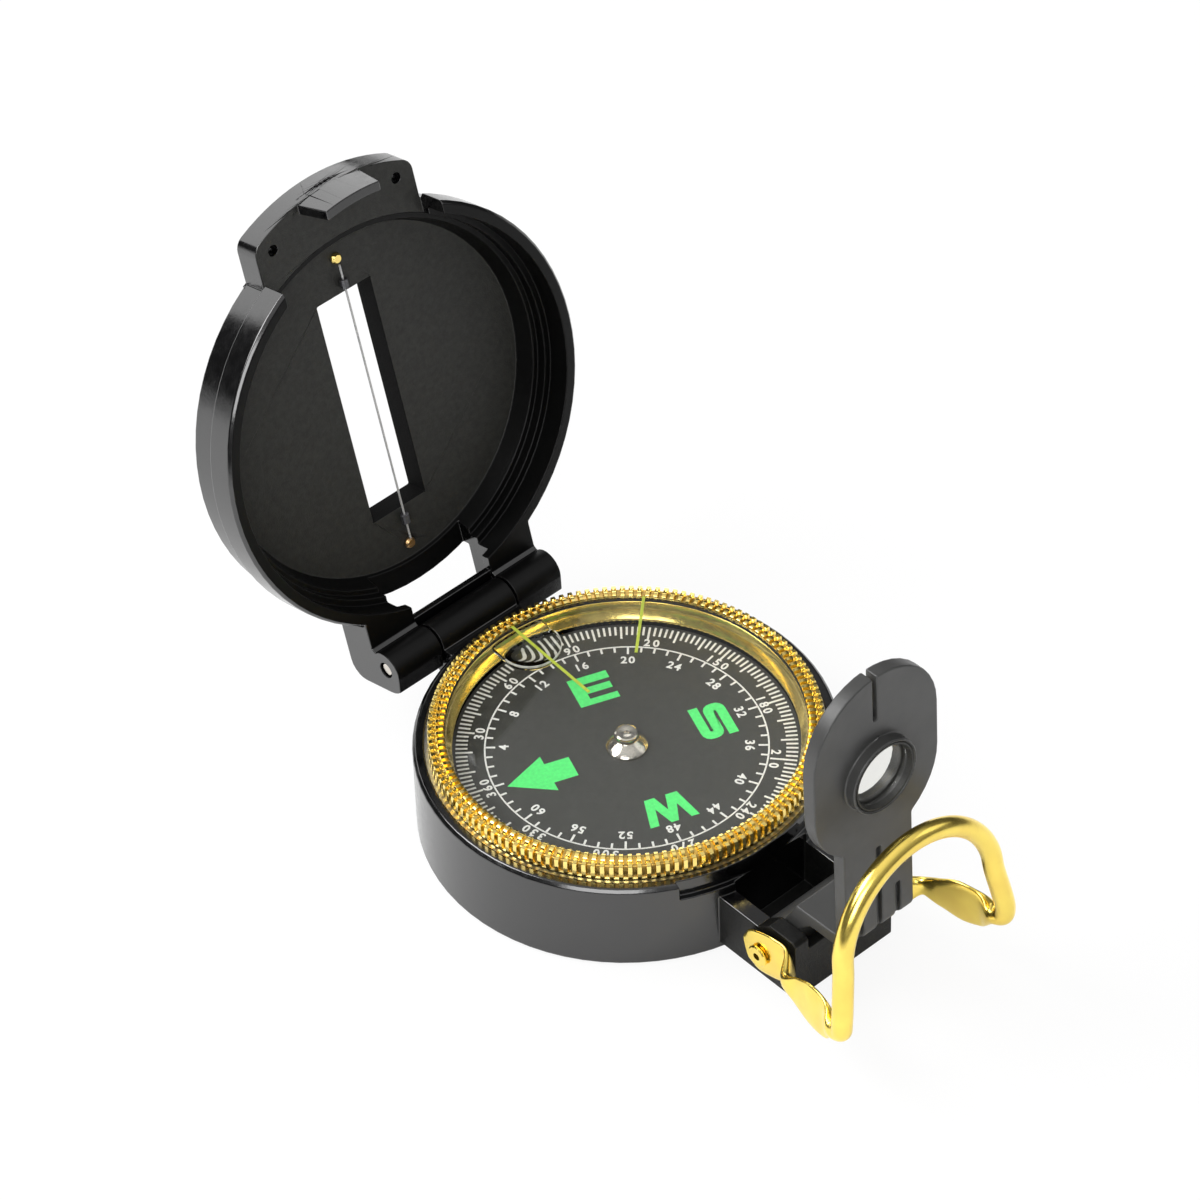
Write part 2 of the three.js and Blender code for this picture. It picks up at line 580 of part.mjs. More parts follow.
function bezelCrystal() {
  return disc(CRYSTAL_RADIUS, CRYSTAL_BOTTOM, CRYSTAL_TOP);
}

// A line on the crystal, from its inner end out to the bezel, at an azimuth clockwise from +Y
function crystalLine(azimuth, innerRadius) {
  const line = block(
    -INDEX_WIDTH / 2, INDEX_WIDTH / 2, innerRadius, CRYSTAL_RADIUS - SEAT_GAP,
    CRYSTAL_TOP, CRYSTAL_TOP + INDEX_THICKNESS);
  return line.rotate([0, 0, -azimuth]);
}

// A D-shaped reading lens under the crystal: straight sides that end in a half circle
function magnifierLens() {
  const outer = BEZEL_THROAT_RADIUS - RUNNING_GAP;
  const round = MAGNIFIER_HALF_WIDTH;
  const outline = [
    ...arc(0, MAGNIFIER_INNER_RADIUS + round, round, 180, 360, 14),
    ...arc(0, 0, outer, 90 - THREE.MathUtils.radToDeg(Math.asin(round / outer)),
      90 + THREE.MathUtils.radToDeg(Math.asin(round / outer)), 6),
  ];
  const low = CRYSTAL_BOTTOM - MAGNIFIER_THICKNESS;
  return plateAlongZ(outline, low, CRYSTAL_BOTTOM).rotate([0, 0, -INDEX_AZIMUTH]);
}

// Hinge pin and rivets
function hingePin() {
  const half = KNUCKLE_END - RUNNING_GAP;
  return rodAlongX(HINGE_PIN_RADIUS, -half, half, HINGE_Y, HINGE_Z);
}

// A hollow rivet through the ring's ear and the bracket's arm, into the eyepiece's foot
function pivotRivet(side) {
  const earFace = EAR_X + RING_EAR_THICKNESS / 2;
  const head = earFace + RUNNING_GAP;
  const inner = STEM_HALF_WIDTH - RIVET_DEPTH_IN_FOOT;
  const rivet = turned([
    [RIVET_BORE_RADIUS, inner], [RIVET_RADIUS, inner], [RIVET_RADIUS, head], [RIVET_HEAD_RADIUS, head],
    [RIVET_HEAD_RADIUS, head + RIVET_HEAD_THICKNESS / 2],
    [RIVET_HEAD_RADIUS - RIVET_HEAD_THICKNESS / 2, head + RIVET_HEAD_THICKNESS],
    [RIVET_BORE_RADIUS, head + RIVET_HEAD_THICKNESS],
  ], SMALL_STEPS);
  return rivet.rotate([0, 90 * side, 0]).translate([0, PIVOT_Y, PIVOT_Z]);
}

// Lid in the closed compass: a stepped dish with a slot, a tab with a tongue, and two hinge arms
function tabOutline() {
  const centre = TAB_END + TAB_END_RADIUS;
  const cornerX = TAB_HALF_WIDTH - TAB_CORNER_RADIUS;
  const cornerDrop = Math.sqrt((TAB_END_RADIUS - TAB_CORNER_RADIUS) ** 2 - cornerX ** 2);
  const spread = THREE.MathUtils.radToDeg(Math.atan2(cornerX, cornerDrop));
  const cornerY = centre - cornerDrop;
  return [
    [-TAB_HALF_WIDTH, TAB_BACK],
    ...arc(-cornerX, cornerY, TAB_CORNER_RADIUS, 180, 270 - spread, 5).slice(0, -1),
    ...arc(0, centre, TAB_END_RADIUS, 270 - spread, 270 + spread, 16),
    ...arc(cornerX, cornerY, TAB_CORNER_RADIUS, 270 + spread, 360, 5).slice(1),
    [TAB_HALF_WIDTH, TAB_BACK],
  ];
}

function tongue() {
  const centre = TAB_END + TAB_END_RADIUS;
  const band = plateAlongZ([
    ...arc(0, centre, TAB_END_RADIUS, 255, 285, 10),
    ...arc(0, centre, TAB_END_RADIUS - TONGUE_THICKNESS, 285, 255, 10),
  ], TONGUE_TIP, TAB_BOTTOM + OVERCUT);
  const slope = (TONGUE_ROOT_HALF_WIDTH - TONGUE_TIP_HALF_WIDTH) / (TAB_BOTTOM - TONGUE_TIP);
  const top = TAB_BOTTOM + OVERCUT;
  const topHalf = TONGUE_TIP_HALF_WIDTH + slope * (top - TONGUE_TIP);
  const outline = [
    [-topHalf, top], [-TONGUE_TIP_HALF_WIDTH, TONGUE_TIP], [TONGUE_TIP_HALF_WIDTH, TONGUE_TIP], [topHalf, top],
  ];
  return band.intersect(plateAlongY(outline, TAB_END - OVERCUT, TAB_BACK));
}

function hingeArm(x0, x1) {
  const reach = HINGE_Y + ARM_REACH;
  return plateAlongX([
    [0, ARM_TOP], ...arc(reach - ARM_CORNER, ARM_TOP - ARM_CORNER, ARM_CORNER, 90, 0, 5),
    ...arc(HINGE_Y, HINGE_Z, ARM_REACH, 0, -35, 3), ...arc(HINGE_Y, HINGE_Z, BARREL_RADIUS, -75, -215, 9),
    [HINGE_Y - BARREL_RADIUS, LID_RIM], [0, LID_RIM],
  ], x0, x1);
}

// A raised frame round the sighting slot on the lid's outer face
function slotFrame() {
  const half = SLOT_HALF_WIDTH + SLOT_FRAME_WIDTH;
  const top = LID_TOP + SLOT_FRAME_HEIGHT;
  const [front, back] = [SLOT_LOW_END - SLOT_FRAME_WIDTH, SLOT_HIGH_END + SLOT_FRAME_WIDTH];
  const across = plateAlongY([
    [-half, LID_FLOOR + LID_EDGE], [half, LID_FLOOR + LID_EDGE], [half, top - SLOT_FRAME_EDGE],
    [half - SLOT_FRAME_EDGE, top], [SLOT_FRAME_EDGE - half, top], [-half, top - SLOT_FRAME_EDGE],
  ], front, back);
  const along = plateAlongX([
    [front, LID_FLOOR], [back, LID_FLOOR], [back, top - SLOT_FRAME_EDGE], [back - SLOT_FRAME_EDGE, top],
    [front + SLOT_FRAME_EDGE, top], [front, top - SLOT_FRAME_EDGE],
  ], -half, half);
  return across.intersect(along);
}

function lidShell() {
  const flangeEdge = LID_EDGE / 2;
  const outside = turned([
    [0, LID_TOP], [LID_RADIUS - LID_EDGE, LID_TOP], [LID_RADIUS, LID_TOP - LID_EDGE],
    [LID_RADIUS, LID_FLANGE_TOP + flangeEdge], [LID_FLANGE_RADIUS, LID_FLANGE_TOP - flangeEdge],
    [LID_FLANGE_RADIUS, LID_RIM + flangeEdge], [LID_FLANGE_RADIUS - flangeEdge, LID_RIM], [0, LID_RIM],
  ]);
  const hollow = turned([
    [0, LID_RIM - OVERCUT], [LID_MOUTH_RADIUS, LID_RIM - OVERCUT], [LID_MOUTH_RADIUS, LID_STEP_HEIGHT],
    [LID_STEP_RADIUS, LID_STEP_HEIGHT], [LID_STEP_RADIUS, LID_INNER_STEP_HEIGHT],
    [LID_INNER_STEP_RADIUS, LID_INNER_STEP_HEIGHT], [LID_FLOOR_RADIUS, LID_FLOOR], [0, LID_FLOOR],
  ]);
  const tab = plateAlongZ(tabOutline(), TAB_BOTTOM, TAB_TOP);
  const mouth = block(
    -TAB_HALF_WIDTH, TAB_HALF_WIDTH, -LID_FLANGE_RADIUS - OVERCUT, -LID_FLANGE_RADIUS / 2,
    LID_RIM - OVERCUT, TAB_BOTTOM);
  const knuckleGap = block(
    -KNUCKLE_START, KNUCKLE_START, LID_FLANGE_RADIUS / 2, LID_FLANGE_RADIUS + OVERCUT,
    LID_RIM - OVERCUT, LID_WINDOW_HIGH);
  const window = block(
    -LID_WINDOW_HALF_WIDTH, LID_WINDOW_HALF_WIDTH, LID_FLANGE_RADIUS / 2, HINGE_Y + 2 * ARM_REACH,
    LID_WINDOW_LOW, LID_WINDOW_HIGH);
  const hingeBar = plateAlongX([
    [HINGE_BAR_INNER, HINGE_BAR_LOW], [HINGE_BAR_OUTER, HINGE_BAR_LOW],
    [HINGE_BAR_OUTER + HINGE_BAR_LIP, HINGE_BAR_LOW + HINGE_BAR_LIP_RISE],
    [HINGE_BAR_OUTER + HINGE_BAR_LIP, LID_WINDOW_LOW], [HINGE_BAR_INNER, LID_WINDOW_LOW],
  ], -LID_WINDOW_HALF_WIDTH, LID_WINDOW_HALF_WIDTH);
  const slot = block(
    -SLOT_HALF_WIDTH, SLOT_HALF_WIDTH, SLOT_LOW_END, SLOT_HIGH_END,
    LID_FLOOR - OVERCUT, LID_TOP + SLOT_FRAME_HEIGHT + OVERCUT);
  const pinBore = rodAlongX(PIN_BORE_RADIUS, -LID_RADIUS, LID_RADIUS, HINGE_Y, HINGE_Z);
  const tabHoles = [-TAB_HOLE_X, TAB_HOLE_X].map((x) => rodAlongZ(
    TAB_HOLE_RADIUS, TAB_BOTTOM - OVERCUT, TAB_BOTTOM + TAB_HOLE_DEPTH, x, TAB_HOLE_Y));
  const wireHoles = [WIRE_PIN_LOW, WIRE_PIN_HIGH].map((y) => rodAlongZ(
    WIRE_PIN_RADIUS + SEAT_GAP, LID_FLOOR - OVERCUT, LID_FLOOR + WIRE_PIN_DEPTH + SEAT_GAP, 0, y));
  const arms = joined(hingeArm(-KNUCKLE_END, -KNUCKLE_START), hingeArm(KNUCKLE_START, KNUCKLE_END));
  const walls = cut(joined(cut(outside, mouth, knuckleGap), arms), window);
  const dish = cut(joined(walls, hingeBar, tab, slotFrame()), hollow);
  return cut(joined(dish, tongue()), slot, pinBore, ...tabHoles, ...wireHoles);
}

// Sighting wire, its pins and its crimps, on the lid's floor
const WIRE_Z = LID_FLOOR - CRIMP_RADIUS - SEAT_GAP;

function sightWire() {
  const clear = WIRE_PIN_HEAD_RADIUS + SEAT_GAP;
  return rodAlongY(WIRE_RADIUS, WIRE_PIN_LOW + clear, WIRE_PIN_HIGH - clear, 0, WIRE_Z, 8);
}

function wirePin(y) {
  const head = LID_FLOOR - SEAT_GAP;
  return turned([
    [0, head - WIRE_PIN_HEAD_HEIGHT], [WIRE_PIN_HEAD_RADIUS * 0.7, head - WIRE_PIN_HEAD_HEIGHT],
    [WIRE_PIN_HEAD_RADIUS, head - WIRE_PIN_HEAD_HEIGHT / 2], [WIRE_PIN_HEAD_RADIUS, head],
    [WIRE_PIN_RADIUS, head], [WIRE_PIN_RADIUS, LID_FLOOR + WIRE_PIN_DEPTH], [0, LID_FLOOR + WIRE_PIN_DEPTH],
  ], SMALL_STEPS).translate([0, y, 0]);
}

function wireCrimp(y) {
  const tube = washer(WIRE_RADIUS + SEAT_GAP, CRIMP_RADIUS, -CRIMP_LENGTH / 2, CRIMP_LENGTH / 2, 12);
  return tube.rotate([90, 0, 0]).translate([0, y, WIRE_Z]);
}

// Eyepiece: a cranked foot, a stem and a long disc with a notch above its lens
function eyepieceOutline() {
  const meet = THREE.MathUtils.radToDeg(Math.asin(STEM_HALF_WIDTH / DISC_HALF_WIDTH));
  return [
    [-STEM_HALF_WIDTH, FOOT_PLATE_TOP],
    ...arc(0, DISC_LOW_CENTRE, DISC_HALF_WIDTH, 270 - meet, 180, 6),
    ...arc(0, DISC_HIGH_CENTRE, DISC_HALF_WIDTH, 180, 0, 20),
    ...arc(0, DISC_LOW_CENTRE, DISC_HALF_WIDTH, 0, meet - 90, 6),
    [STEM_HALF_WIDTH, FOOT_PLATE_TOP],
  ];
}

function eyepieceFoot() {
  const throat = FOOT_PLATE_BACK + FOOT_CORNER_RADIUS / 3;
  const corner = arc(
    -STEM_FACE + FOOT_CORNER_RADIUS, FOOT_PLATE_BOTTOM + FOOT_CORNER_RADIUS, FOOT_CORNER_RADIUS, 180, 270, 5);
  const crank = plateAlongX([
    [-STEM_BACK, FOOT_PLATE_TOP + OVERCUT], [-STEM_FACE, FOOT_PLATE_TOP + OVERCUT], ...corner,
    [-throat - FOOT_PLATE_THICKNESS, FOOT_PLATE_BOTTOM], [-throat, FOOT_PLATE_BOTTOM - FOOT_PLATE_THICKNESS],
    [-FOOT_BARREL_RADIUS, 0], [0, 0], [0, FOOT_BARREL_RADIUS], [-FOOT_PLATE_BACK, FOOT_PLATE_TOP],
    [-STEM_BACK, FOOT_PLATE_TOP],
  ], -STEM_HALF_WIDTH, STEM_HALF_WIDTH);
  return joined(crank, rodAlongX(FOOT_BARREL_RADIUS, -STEM_HALF_WIDTH, STEM_HALF_WIDTH, 0, 0));
}

function gripGroove(x, top) {
  return block(
    x - GRIP_GROOVE_WIDTH / 2, x + GRIP_GROOVE_WIDTH / 2, -STEM_FACE - OVERCUT, -STEM_FACE + GRIP_GROOVE_DEPTH,
    FOOT_PLATE_BOTTOM - OVERCUT, top);
}

function eyepieceArm() {
  const plate = plateAlongY(eyepieceOutline(), -STEM_FACE, -STEM_BACK);
  const front = -STEM_FACE - LENS_BOSS_HEIGHT;
  const boss = rodAlongY(LENS_BOSS_RADIUS, front, -STEM_FACE + LENS_BOSS_HEIGHT, 0, LENS_CENTRE, LENS_STEPS);
  const aperture = rodAlongY(LENS_APERTURE_RADIUS, -STEM_FACE - OVERCUT, 0, 0, LENS_CENTRE, LENS_STEPS);
  const seat = rodAlongY(
    LENS_RADIUS + LENS_RING_WIDTH / 3 + SEAT_GAP, front - OVERCUT, -STEM_BACK - LENS_SEAT_DEPTH, 0, LENS_CENTRE, LENS_STEPS);
  const top = DISC_HIGH_CENTRE + DISC_HALF_WIDTH;
  const notch = block(
    -NOTCH_SLOT_WIDTH / 2, NOTCH_SLOT_WIDTH / 2, -STEM_FACE - OVERCUT, -STEM_BACK + OVERCUT,
    NOTCH_SLOT_BOTTOM, top + OVERCUT);
  const rivetBores = [-1, 1].map((side) => {
    const [deep, face] = [STEM_HALF_WIDTH - RIVET_DEPTH_IN_FOOT - RUNNING_GAP, STEM_HALF_WIDTH + OVERCUT];
    return side < 0 ? rodAlongX(RIVET_HOLE_RADIUS, -face, -deep, 0, 0) : rodAlongX(RIVET_HOLE_RADIUS, deep, face, 0, 0);
  });
  const grooves = [
    gripGroove(-GRIP_GROOVE_PITCH, GRIP_SIDE_TOP), gripGroove(0, GRIP_MIDDLE_TOP),
    gripGroove(GRIP_GROOVE_PITCH, GRIP_SIDE_TOP),
  ];
  return cut(joined(plate, eyepieceFoot(), boss), aperture, seat, notch, ...rivetBores, ...grooves);
}

// The lens is crowned on both faces; its profile is turned about +Z and then faced along Y
function eyepieceLens() {
  const low = STEM_BACK + LENS_SEAT_DEPTH + SEAT_GAP;
  const crown = arcProfile(LENS_RADIUS, LENS_CROWN, 3);
  const profile = [
    ...crown.map(([r, rise]) => [r, low - rise + LENS_CROWN]),
    ...crown.map(([r, rise]) => [r, low + LENS_THICKNESS + rise - LENS_CROWN]).reverse(),
  ];
  return turned(profile, LENS_STEPS).rotate([90, 0, 0]).translate([0, 0, LENS_CENTRE]);
}

// Points of a shallow crown from its middle to its edge, as [radius, rise above the edge]
function arcProfile(radius, rise, steps) {
  return Array.from({ length: steps + 1 }, (_, i) => {
    const share = i / steps;
    return [radius * share, rise * (1 - share * share)];
  });
}

function lensRing() {
  const low = STEM_BACK + LENS_SEAT_DEPTH + LENS_THICKNESS + 2 * SEAT_GAP;
  const high = STEM_FACE + LENS_BOSS_HEIGHT - SEAT_GAP;
  const outer = LENS_RADIUS + LENS_RING_WIDTH / 3;
  const ring = turned([
    [outer - LENS_RING_WIDTH, low], [outer, low], [outer, high], [outer - LENS_RING_WIDTH / 2, high],
  ], LENS_STEPS);
  return ring.rotate([90, 0, 0]).translate([0, 0, LENS_CENTRE]);
}

// Thumb ring: a wire bent into an arch, with its ends pressed flat into paddles and ears.
// The left half is drawn and mirrored.
function ringCentreLine() {
  const length = Math.hypot(RING_PINCH_OFFSET, RING_PINCH_RISE);
  const ahead = [-RING_PINCH_OFFSET / length, RING_PINCH_RISE / length];
  const alongEar = (x, distance) => new THREE.Vector3(-x, PIVOT_Y + ahead[0] * distance, PIVOT_Z + ahead[1] * distance);
  const lean = radians(RING_ARCH_LEAN);
  const onArch = (x, rise) => new THREE.Vector3(
    -x, RING_CORNER_Y + rise * Math.sin(lean), RING_CORNER_Z + rise * Math.cos(lean));
  const pinch = alongEar(RING_PINCH_X, length);
  const corner = onArch(RING_CORNER_X, 0);
  const beforeCorner = corner.clone().lerp(pinch, RING_CORNER_BEND / corner.distanceTo(pinch));
  const afterCorner = onArch(RING_CORNER_X, RING_CORNER_BEND);
  const insideCorner = corner.clone().lerp(beforeCorner.clone().lerp(afterCorner, 0.5), 0.5);
  const arch = Array.from({ length: 8 }, (_, i) => {
    const angle = (Math.PI / 2) * (i / 7);
    return onArch(RING_ARCH_HALF_WIDTH * Math.cos(angle), RING_LEG_LENGTH + RING_ARCH_RISE * Math.sin(angle));
  });
  return {
    ear: [
      alongEar(EAR_X, -RING_EAR_TAIL), alongEar(EAR_X, -RING_EAR_TAIL * 0.6), alongEar(EAR_X, 0),
      alongEar(EAR_X, RING_EAR_REACH * 0.55), alongEar(EAR_X, RING_EAR_REACH),
    ],
    pinch,
    paddle: [0.2, 0.45, 0.7].map((share) => pinch.clone().lerp(corner, share)),
    corner: [beforeCorner, insideCorner, afterCorner],
    arch,
  };
}

// The wire's section at each station: half its height, half its thickness and its twist about the wire
function ringStations() {
  const line = ringCentreLine();
  const round = [RING_WIRE_RADIUS, RING_WIRE_RADIUS, 0];
  const flat = (share, halfWidth, thickness, twist) => [share * halfWidth, thickness / 2, radians(twist)];
  const ear = [0.6, 0.9, 1, 1, 0.75].map((share) => flat(share, RING_EAR_HALF_WIDTH, RING_EAR_THICKNESS, 0));
  const paddle = [0.7, 1, 0.9].map((share) => flat(
    share, RING_PADDLE_HALF_WIDTH, RING_PADDLE_THICKNESS, RING_PADDLE_TWIST));
  return [
    ...line.ear.map((at, i) => ({ at, section: ear[i] })),
    { at: line.pinch, section: [RING_PINCH_HALF_WIDTH, RING_PINCH_HALF_WIDTH * 0.6, 0] },
    ...line.paddle.map((at, i) => ({ at, section: paddle[i] })),
    ...line.corner.map((at) => ({ at, section: round })),
    ...line.arch.map((at) => ({ at, section: round })),
  ];
}

function thumbRing() {
  const stations = ringStations();
  const path = new THREE.CatmullRomCurve3(stations.map((s) => s.at), false, 'centripetal');
  const last = stations.length - 1;
  const fine = 2 * last;
  const rings = [];
  let normal = new THREE.Vector3(-1, 0, 0);
  for (let i = 0; i <= fine; i += 1) {
    const share = i / fine;
    const centre = path.getPoint(share);
    const tangent = i === fine ? new THREE.Vector3(1, 0, 0) : path.getTangent(share);
    normal = normal.clone().addScaledVector(tangent, -normal.dot(tangent)).normalize();
    const upward = new THREE.Vector3().crossVectors(normal, tangent);
    const before = Math.min(Math.floor(share * last), last - 1);
    const blend = share * last - before;
    const [height, thickness, twist] = [0, 1, 2].map((k) => THREE.MathUtils.lerp(
      stations[before].section[k], stations[before + 1].section[k], blend));
    const wide = upward.clone().applyAxisAngle(tangent, -twist).multiplyScalar(height);
    const thin = normal.clone().applyAxisAngle(tangent, -twist).multiplyScalar(thickness);
    rings.push(Array.from({ length: RING_SIDES }, (_, k) => {
      const angle = (2 * Math.PI * k) / RING_SIDES;
      return centre.clone().addScaledVector(wide, Math.cos(angle)).addScaledVector(thin, Math.sin(angle));
    }));
  }
  const mirrored = rings.slice(0, -1).reverse().map((ring) => ring.map((p) => new THREE.Vector3(-p.x, p.y, p.z)));
  const wire = skinned([...rings, ...mirrored], false);
  return cut(wire, rodAlongX(RIVET_HOLE_RADIUS, -CASE_RADIUS, CASE_RADIUS, PIVOT_Y, PIVOT_Z));
}

// Assembly
const compass = new THREE.Group();

compass.add(
  mesh('case_shell', caseShell(), PLASTIC),
  mesh('pivot_plate', pivotPlate(), MATTE_PLASTIC),
  mesh('pivot_post', pivotPost(), BRASS),
  mesh('pivot_needle', pivotNeedle(), STEEL),
  mesh('bezel_spring', bezelSpring(), STEEL),
  mesh('bezel_snap_ring', snapRing(), STEEL),
  mesh('hinge_pin', hingePin(), STEEL),
  mesh('pivot_rivet_left', pivotRivet(-1), BRASS),
  mesh('pivot_rivet_right', pivotRivet(1), BRASS),
);

compass.add(
  mesh('compass_card', compassCard(), CARD_BLACK),
  mesh('card_magnet', cardMagnet(), MAGNET_GREY),
  mesh('jewel_cap', jewelCap(), CHROME),
  mesh('jewel_bearing', jewelBearing(), JEWEL_RED),
);

compass.add(
  mesh('bezel_ring', bezelRing(), GOLD),
  mesh('crystal_gasket', crystalGasket(), RUBBER),
  mesh('bezel_crystal', bezelCrystal(), CLEAR),
  mesh('magnifier_lens', magnifierLens(), CLEAR),
  mesh('index_line', crystalLine(INDEX_AZIMUTH, INDEX_INNER_RADIUS), INDEX_GREEN),
  mesh('bearing_line', crystalLine(INDEX_AZIMUTH + BEARING_LINE_STEP, BEARING_LINE_INNER_RADIUS), INDEX_GREEN),
);

// The lid's pieces are drawn closed, about the hinge's axis, and turned open together
const lid = new THREE.Group();
lid.position.set(0, HINGE_Y, HINGE_Z);
lid.rotation.x = -radians(LID_ANGLE);
const lidPieces = new THREE.Group();
lidPieces.position.set(0, -HINGE_Y, -HINGE_Z);
lidPieces.add(
  mesh('lid_shell', lidShell(), PLASTIC),
  mesh('sight_wire', sightWire(), STEEL),
  mesh('wire_pin_upper', wirePin(WIRE_PIN_LOW), BRASS),
  mesh('wire_pin_lower', wirePin(WIRE_PIN_HIGH), BRASS),
  mesh('wire_crimp_upper', wireCrimp(SLOT_LOW_END - CRIMP_OFFSET), STEEL),
  mesh('wire_crimp_lower', wireCrimp(SLOT_HIGH_END + CRIMP_OFFSET), STEEL),
);
lid.add(lidPieces);
compass.add(lid);

const eyepiece = new THREE.Group();
eyepiece.position.set(0, PIVOT_Y, PIVOT_Z);
eyepiece.rotation.x = -radians(EYEPIECE_LEAN);
eyepiece.add(
  mesh('eyepiece_arm', eyepieceArm(), GREY_PLASTIC),
  mesh('eyepiece_lens', eyepieceLens(), CLEAR),
  mesh('lens_ring', lensRing(), MATTE_PLASTIC),
);
compass.add(eyepiece);

compass.add(mesh('thumb_ring', thumbRing(), GOLD));

export default compass;
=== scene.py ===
import math

import bmesh
import bpy
from mathutils import Matrix, Vector


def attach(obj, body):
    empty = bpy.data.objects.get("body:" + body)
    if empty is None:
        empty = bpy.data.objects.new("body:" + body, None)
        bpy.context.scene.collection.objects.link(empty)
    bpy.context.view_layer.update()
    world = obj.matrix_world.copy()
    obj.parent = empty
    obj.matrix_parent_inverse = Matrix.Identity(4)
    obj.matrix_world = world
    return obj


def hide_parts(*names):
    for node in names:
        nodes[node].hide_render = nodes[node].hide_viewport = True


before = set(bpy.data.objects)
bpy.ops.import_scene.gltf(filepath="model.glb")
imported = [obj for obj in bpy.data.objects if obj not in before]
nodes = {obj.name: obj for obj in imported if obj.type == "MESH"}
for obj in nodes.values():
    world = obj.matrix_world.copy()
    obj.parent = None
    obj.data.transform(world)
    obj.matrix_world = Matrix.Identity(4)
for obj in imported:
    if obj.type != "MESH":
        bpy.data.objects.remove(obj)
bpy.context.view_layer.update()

scene = bpy.context.scene

# Lengths are written in millimetres and scaled once, when a mesh is made
MM = 0.001

# Camera, fitted to the photograph
IMAGE_SIZE = 1200
CAMERA_AZIMUTH = -41.03
CAMERA_ELEVATION = 43.83
CAMERA_ROLL = -2.03
CAMERA_DISTANCE = 800.5
CAMERA_FOCAL_PIXELS = 5740.18
CAMERA_LOOK = (24.55, 32.59, 0.0)
SENSOR_WIDTH = 36.0
CLIP_START = 0.01
CLIP_END = 20.0

# Steps of a large round edge
ROUND_STEPS = 180

# Sizes that the CAD model's pieces have too
HINGE_Y = 31.85
HINGE_Z = 13.54
LID_ANGLE = 105.0
LID_RIM = 15.6
LID_STEP = 19.1
LID_INNER_STEP = 20.6
LID_FLOOR = 23.25
LID_TOP = 25.2
TAB_BOTTOM = 20.4
SLOT_HALF_WIDTH = 4.6
CARD_BOTTOM = 11.0
CARD_TOP = 11.6
CARD_RADIUS = 23.3
CARD_BORE_RADIUS = 1.5
BEZEL_FOOT = 12.4
BEZEL_TOP = 16.7
BEZEL_LEDGE = 15.2
BEZEL_RADIUS = 26.4
BEZEL_SKIRT_RADIUS = 26.1
BEZEL_MOUTH_RADIUS = 24.5
BEZEL_THROAT_RADIUS = 24.0
BEZEL_LIP_RADIUS = 23.2
CRYSTAL_BOTTOM = 15.4
CRYSTAL_TOP = 16.2
CRYSTAL_RADIUS = 24.4
CAP_TOP = 14.3
CAP_HEAD_RADIUS = 1.7
CAP_SKIRT_RADIUS = 2.8
PIVOT_Y = -36.0
PIVOT_Z = 6.9
INDEX_AZIMUTH = 3.3


def place_camera():
    azimuth = math.radians(CAMERA_AZIMUTH)
    elevation = math.radians(CAMERA_ELEVATION)
    roll = math.radians(CAMERA_ROLL)
    back = Vector((
        math.sin(azimuth) * math.cos(elevation),
        -math.cos(azimuth) * math.cos(elevation),
        math.sin(elevation),
    ))
    level = Vector((math.cos(azimuth), math.sin(azimuth), 0.0))
    upright = back.cross(level)
    right = level * math.cos(roll) + upright * math.sin(roll)
    up = upright * math.cos(roll) - level * math.sin(roll)
    place = Matrix((right, up, back)).transposed().to_4x4()
    place.translation = (Vector(CAMERA_LOOK) + back * CAMERA_DISTANCE) * MM
    data = bpy.data.cameras.new("camera")
    data.sensor_width = SENSOR_WIDTH
    data.lens = CAMERA_FOCAL_PIXELS / IMAGE_SIZE * SENSOR_WIDTH
    data.clip_start = CLIP_START
    data.clip_end = CLIP_END
    camera = bpy.data.objects.new("camera", data)
    camera.matrix_world = place
    scene.collection.objects.link(camera)
    scene.camera = camera


place_camera()


# Node trees

def link(tree, source, target):
    tree.links.new(source, target)


def node(tree, kind, **settings):
    made = tree.nodes.new(kind)
    for name, value in settings.items():
        setattr(made, name, value)
    return made


def mixed_colour(tree, share, first, second):
    mix = node(tree, "ShaderNodeMix", data_type="RGBA")
    link(tree, share, mix.inputs["Factor"])
    for socket, colour in ((mix.inputs["A"], first), (mix.inputs["B"], second)):
        if isinstance(colour, tuple):
            socket.default_value = (*colour, 1)
        else:
            link(tree, colour, socket)
    return mix.outputs["Result"]


def ranged(tree, source, low, high, out_low, out_high):
    made = node(tree, "ShaderNodeMapRange")
    link(tree, source, made.inputs["Value"])
    for name, value in (("From Min", low), ("From Max", high), ("To Min", out_low), ("To Max", out_high)):
        made.inputs[name].default_value = value
    return made.outputs["Result"]


def noise(tree, place, per_mm, detail=3.0, roughness=0.55):
    made = node(tree, "ShaderNodeTexNoise")
    made.inputs["Scale"].default_value = per_mm / MM
    made.inputs["Detail"].default_value = detail
    made.inputs["Roughness"].default_value = roughness
    link(tree, place, made.inputs["Vector"])
    return made.outputs["Fac"]


def product(tree, first, second):
    made = node(tree, "ShaderNodeMath", operation="MULTIPLY")
    for socket, value in ((made.inputs[0], first), (made.inputs[1], second)):
        if isinstance(value, float):
            socket.default_value = value
        else:
            link(tree, value, socket)
    return made.outputs[0]


# Wear along edges and smears on clear plastic: lengths in mm, noise per mm
WEAR_WIDTH = 0.18
WEAR_NOISE = 2.5
SMEAR_NOISE = 0.25
SMEAR_ROUGHNESS = 0.03

# How much finer the noise of the roughness is than that of the colour
ROUGHNESS_NOISE_SHARE = 2.3

# The parts of each noise's range that are stretched to its full effect, and the fine relief's detail
MOTTLE_RANGE = (0.35, 0.65)
ROUGHNESS_RANGE = (0.3, 0.7)
WEAR_RANGE = (0.4, 0.6)
SMEAR_RANGE = (0.45, 0.7)
RELIEF_DETAIL = 2.0

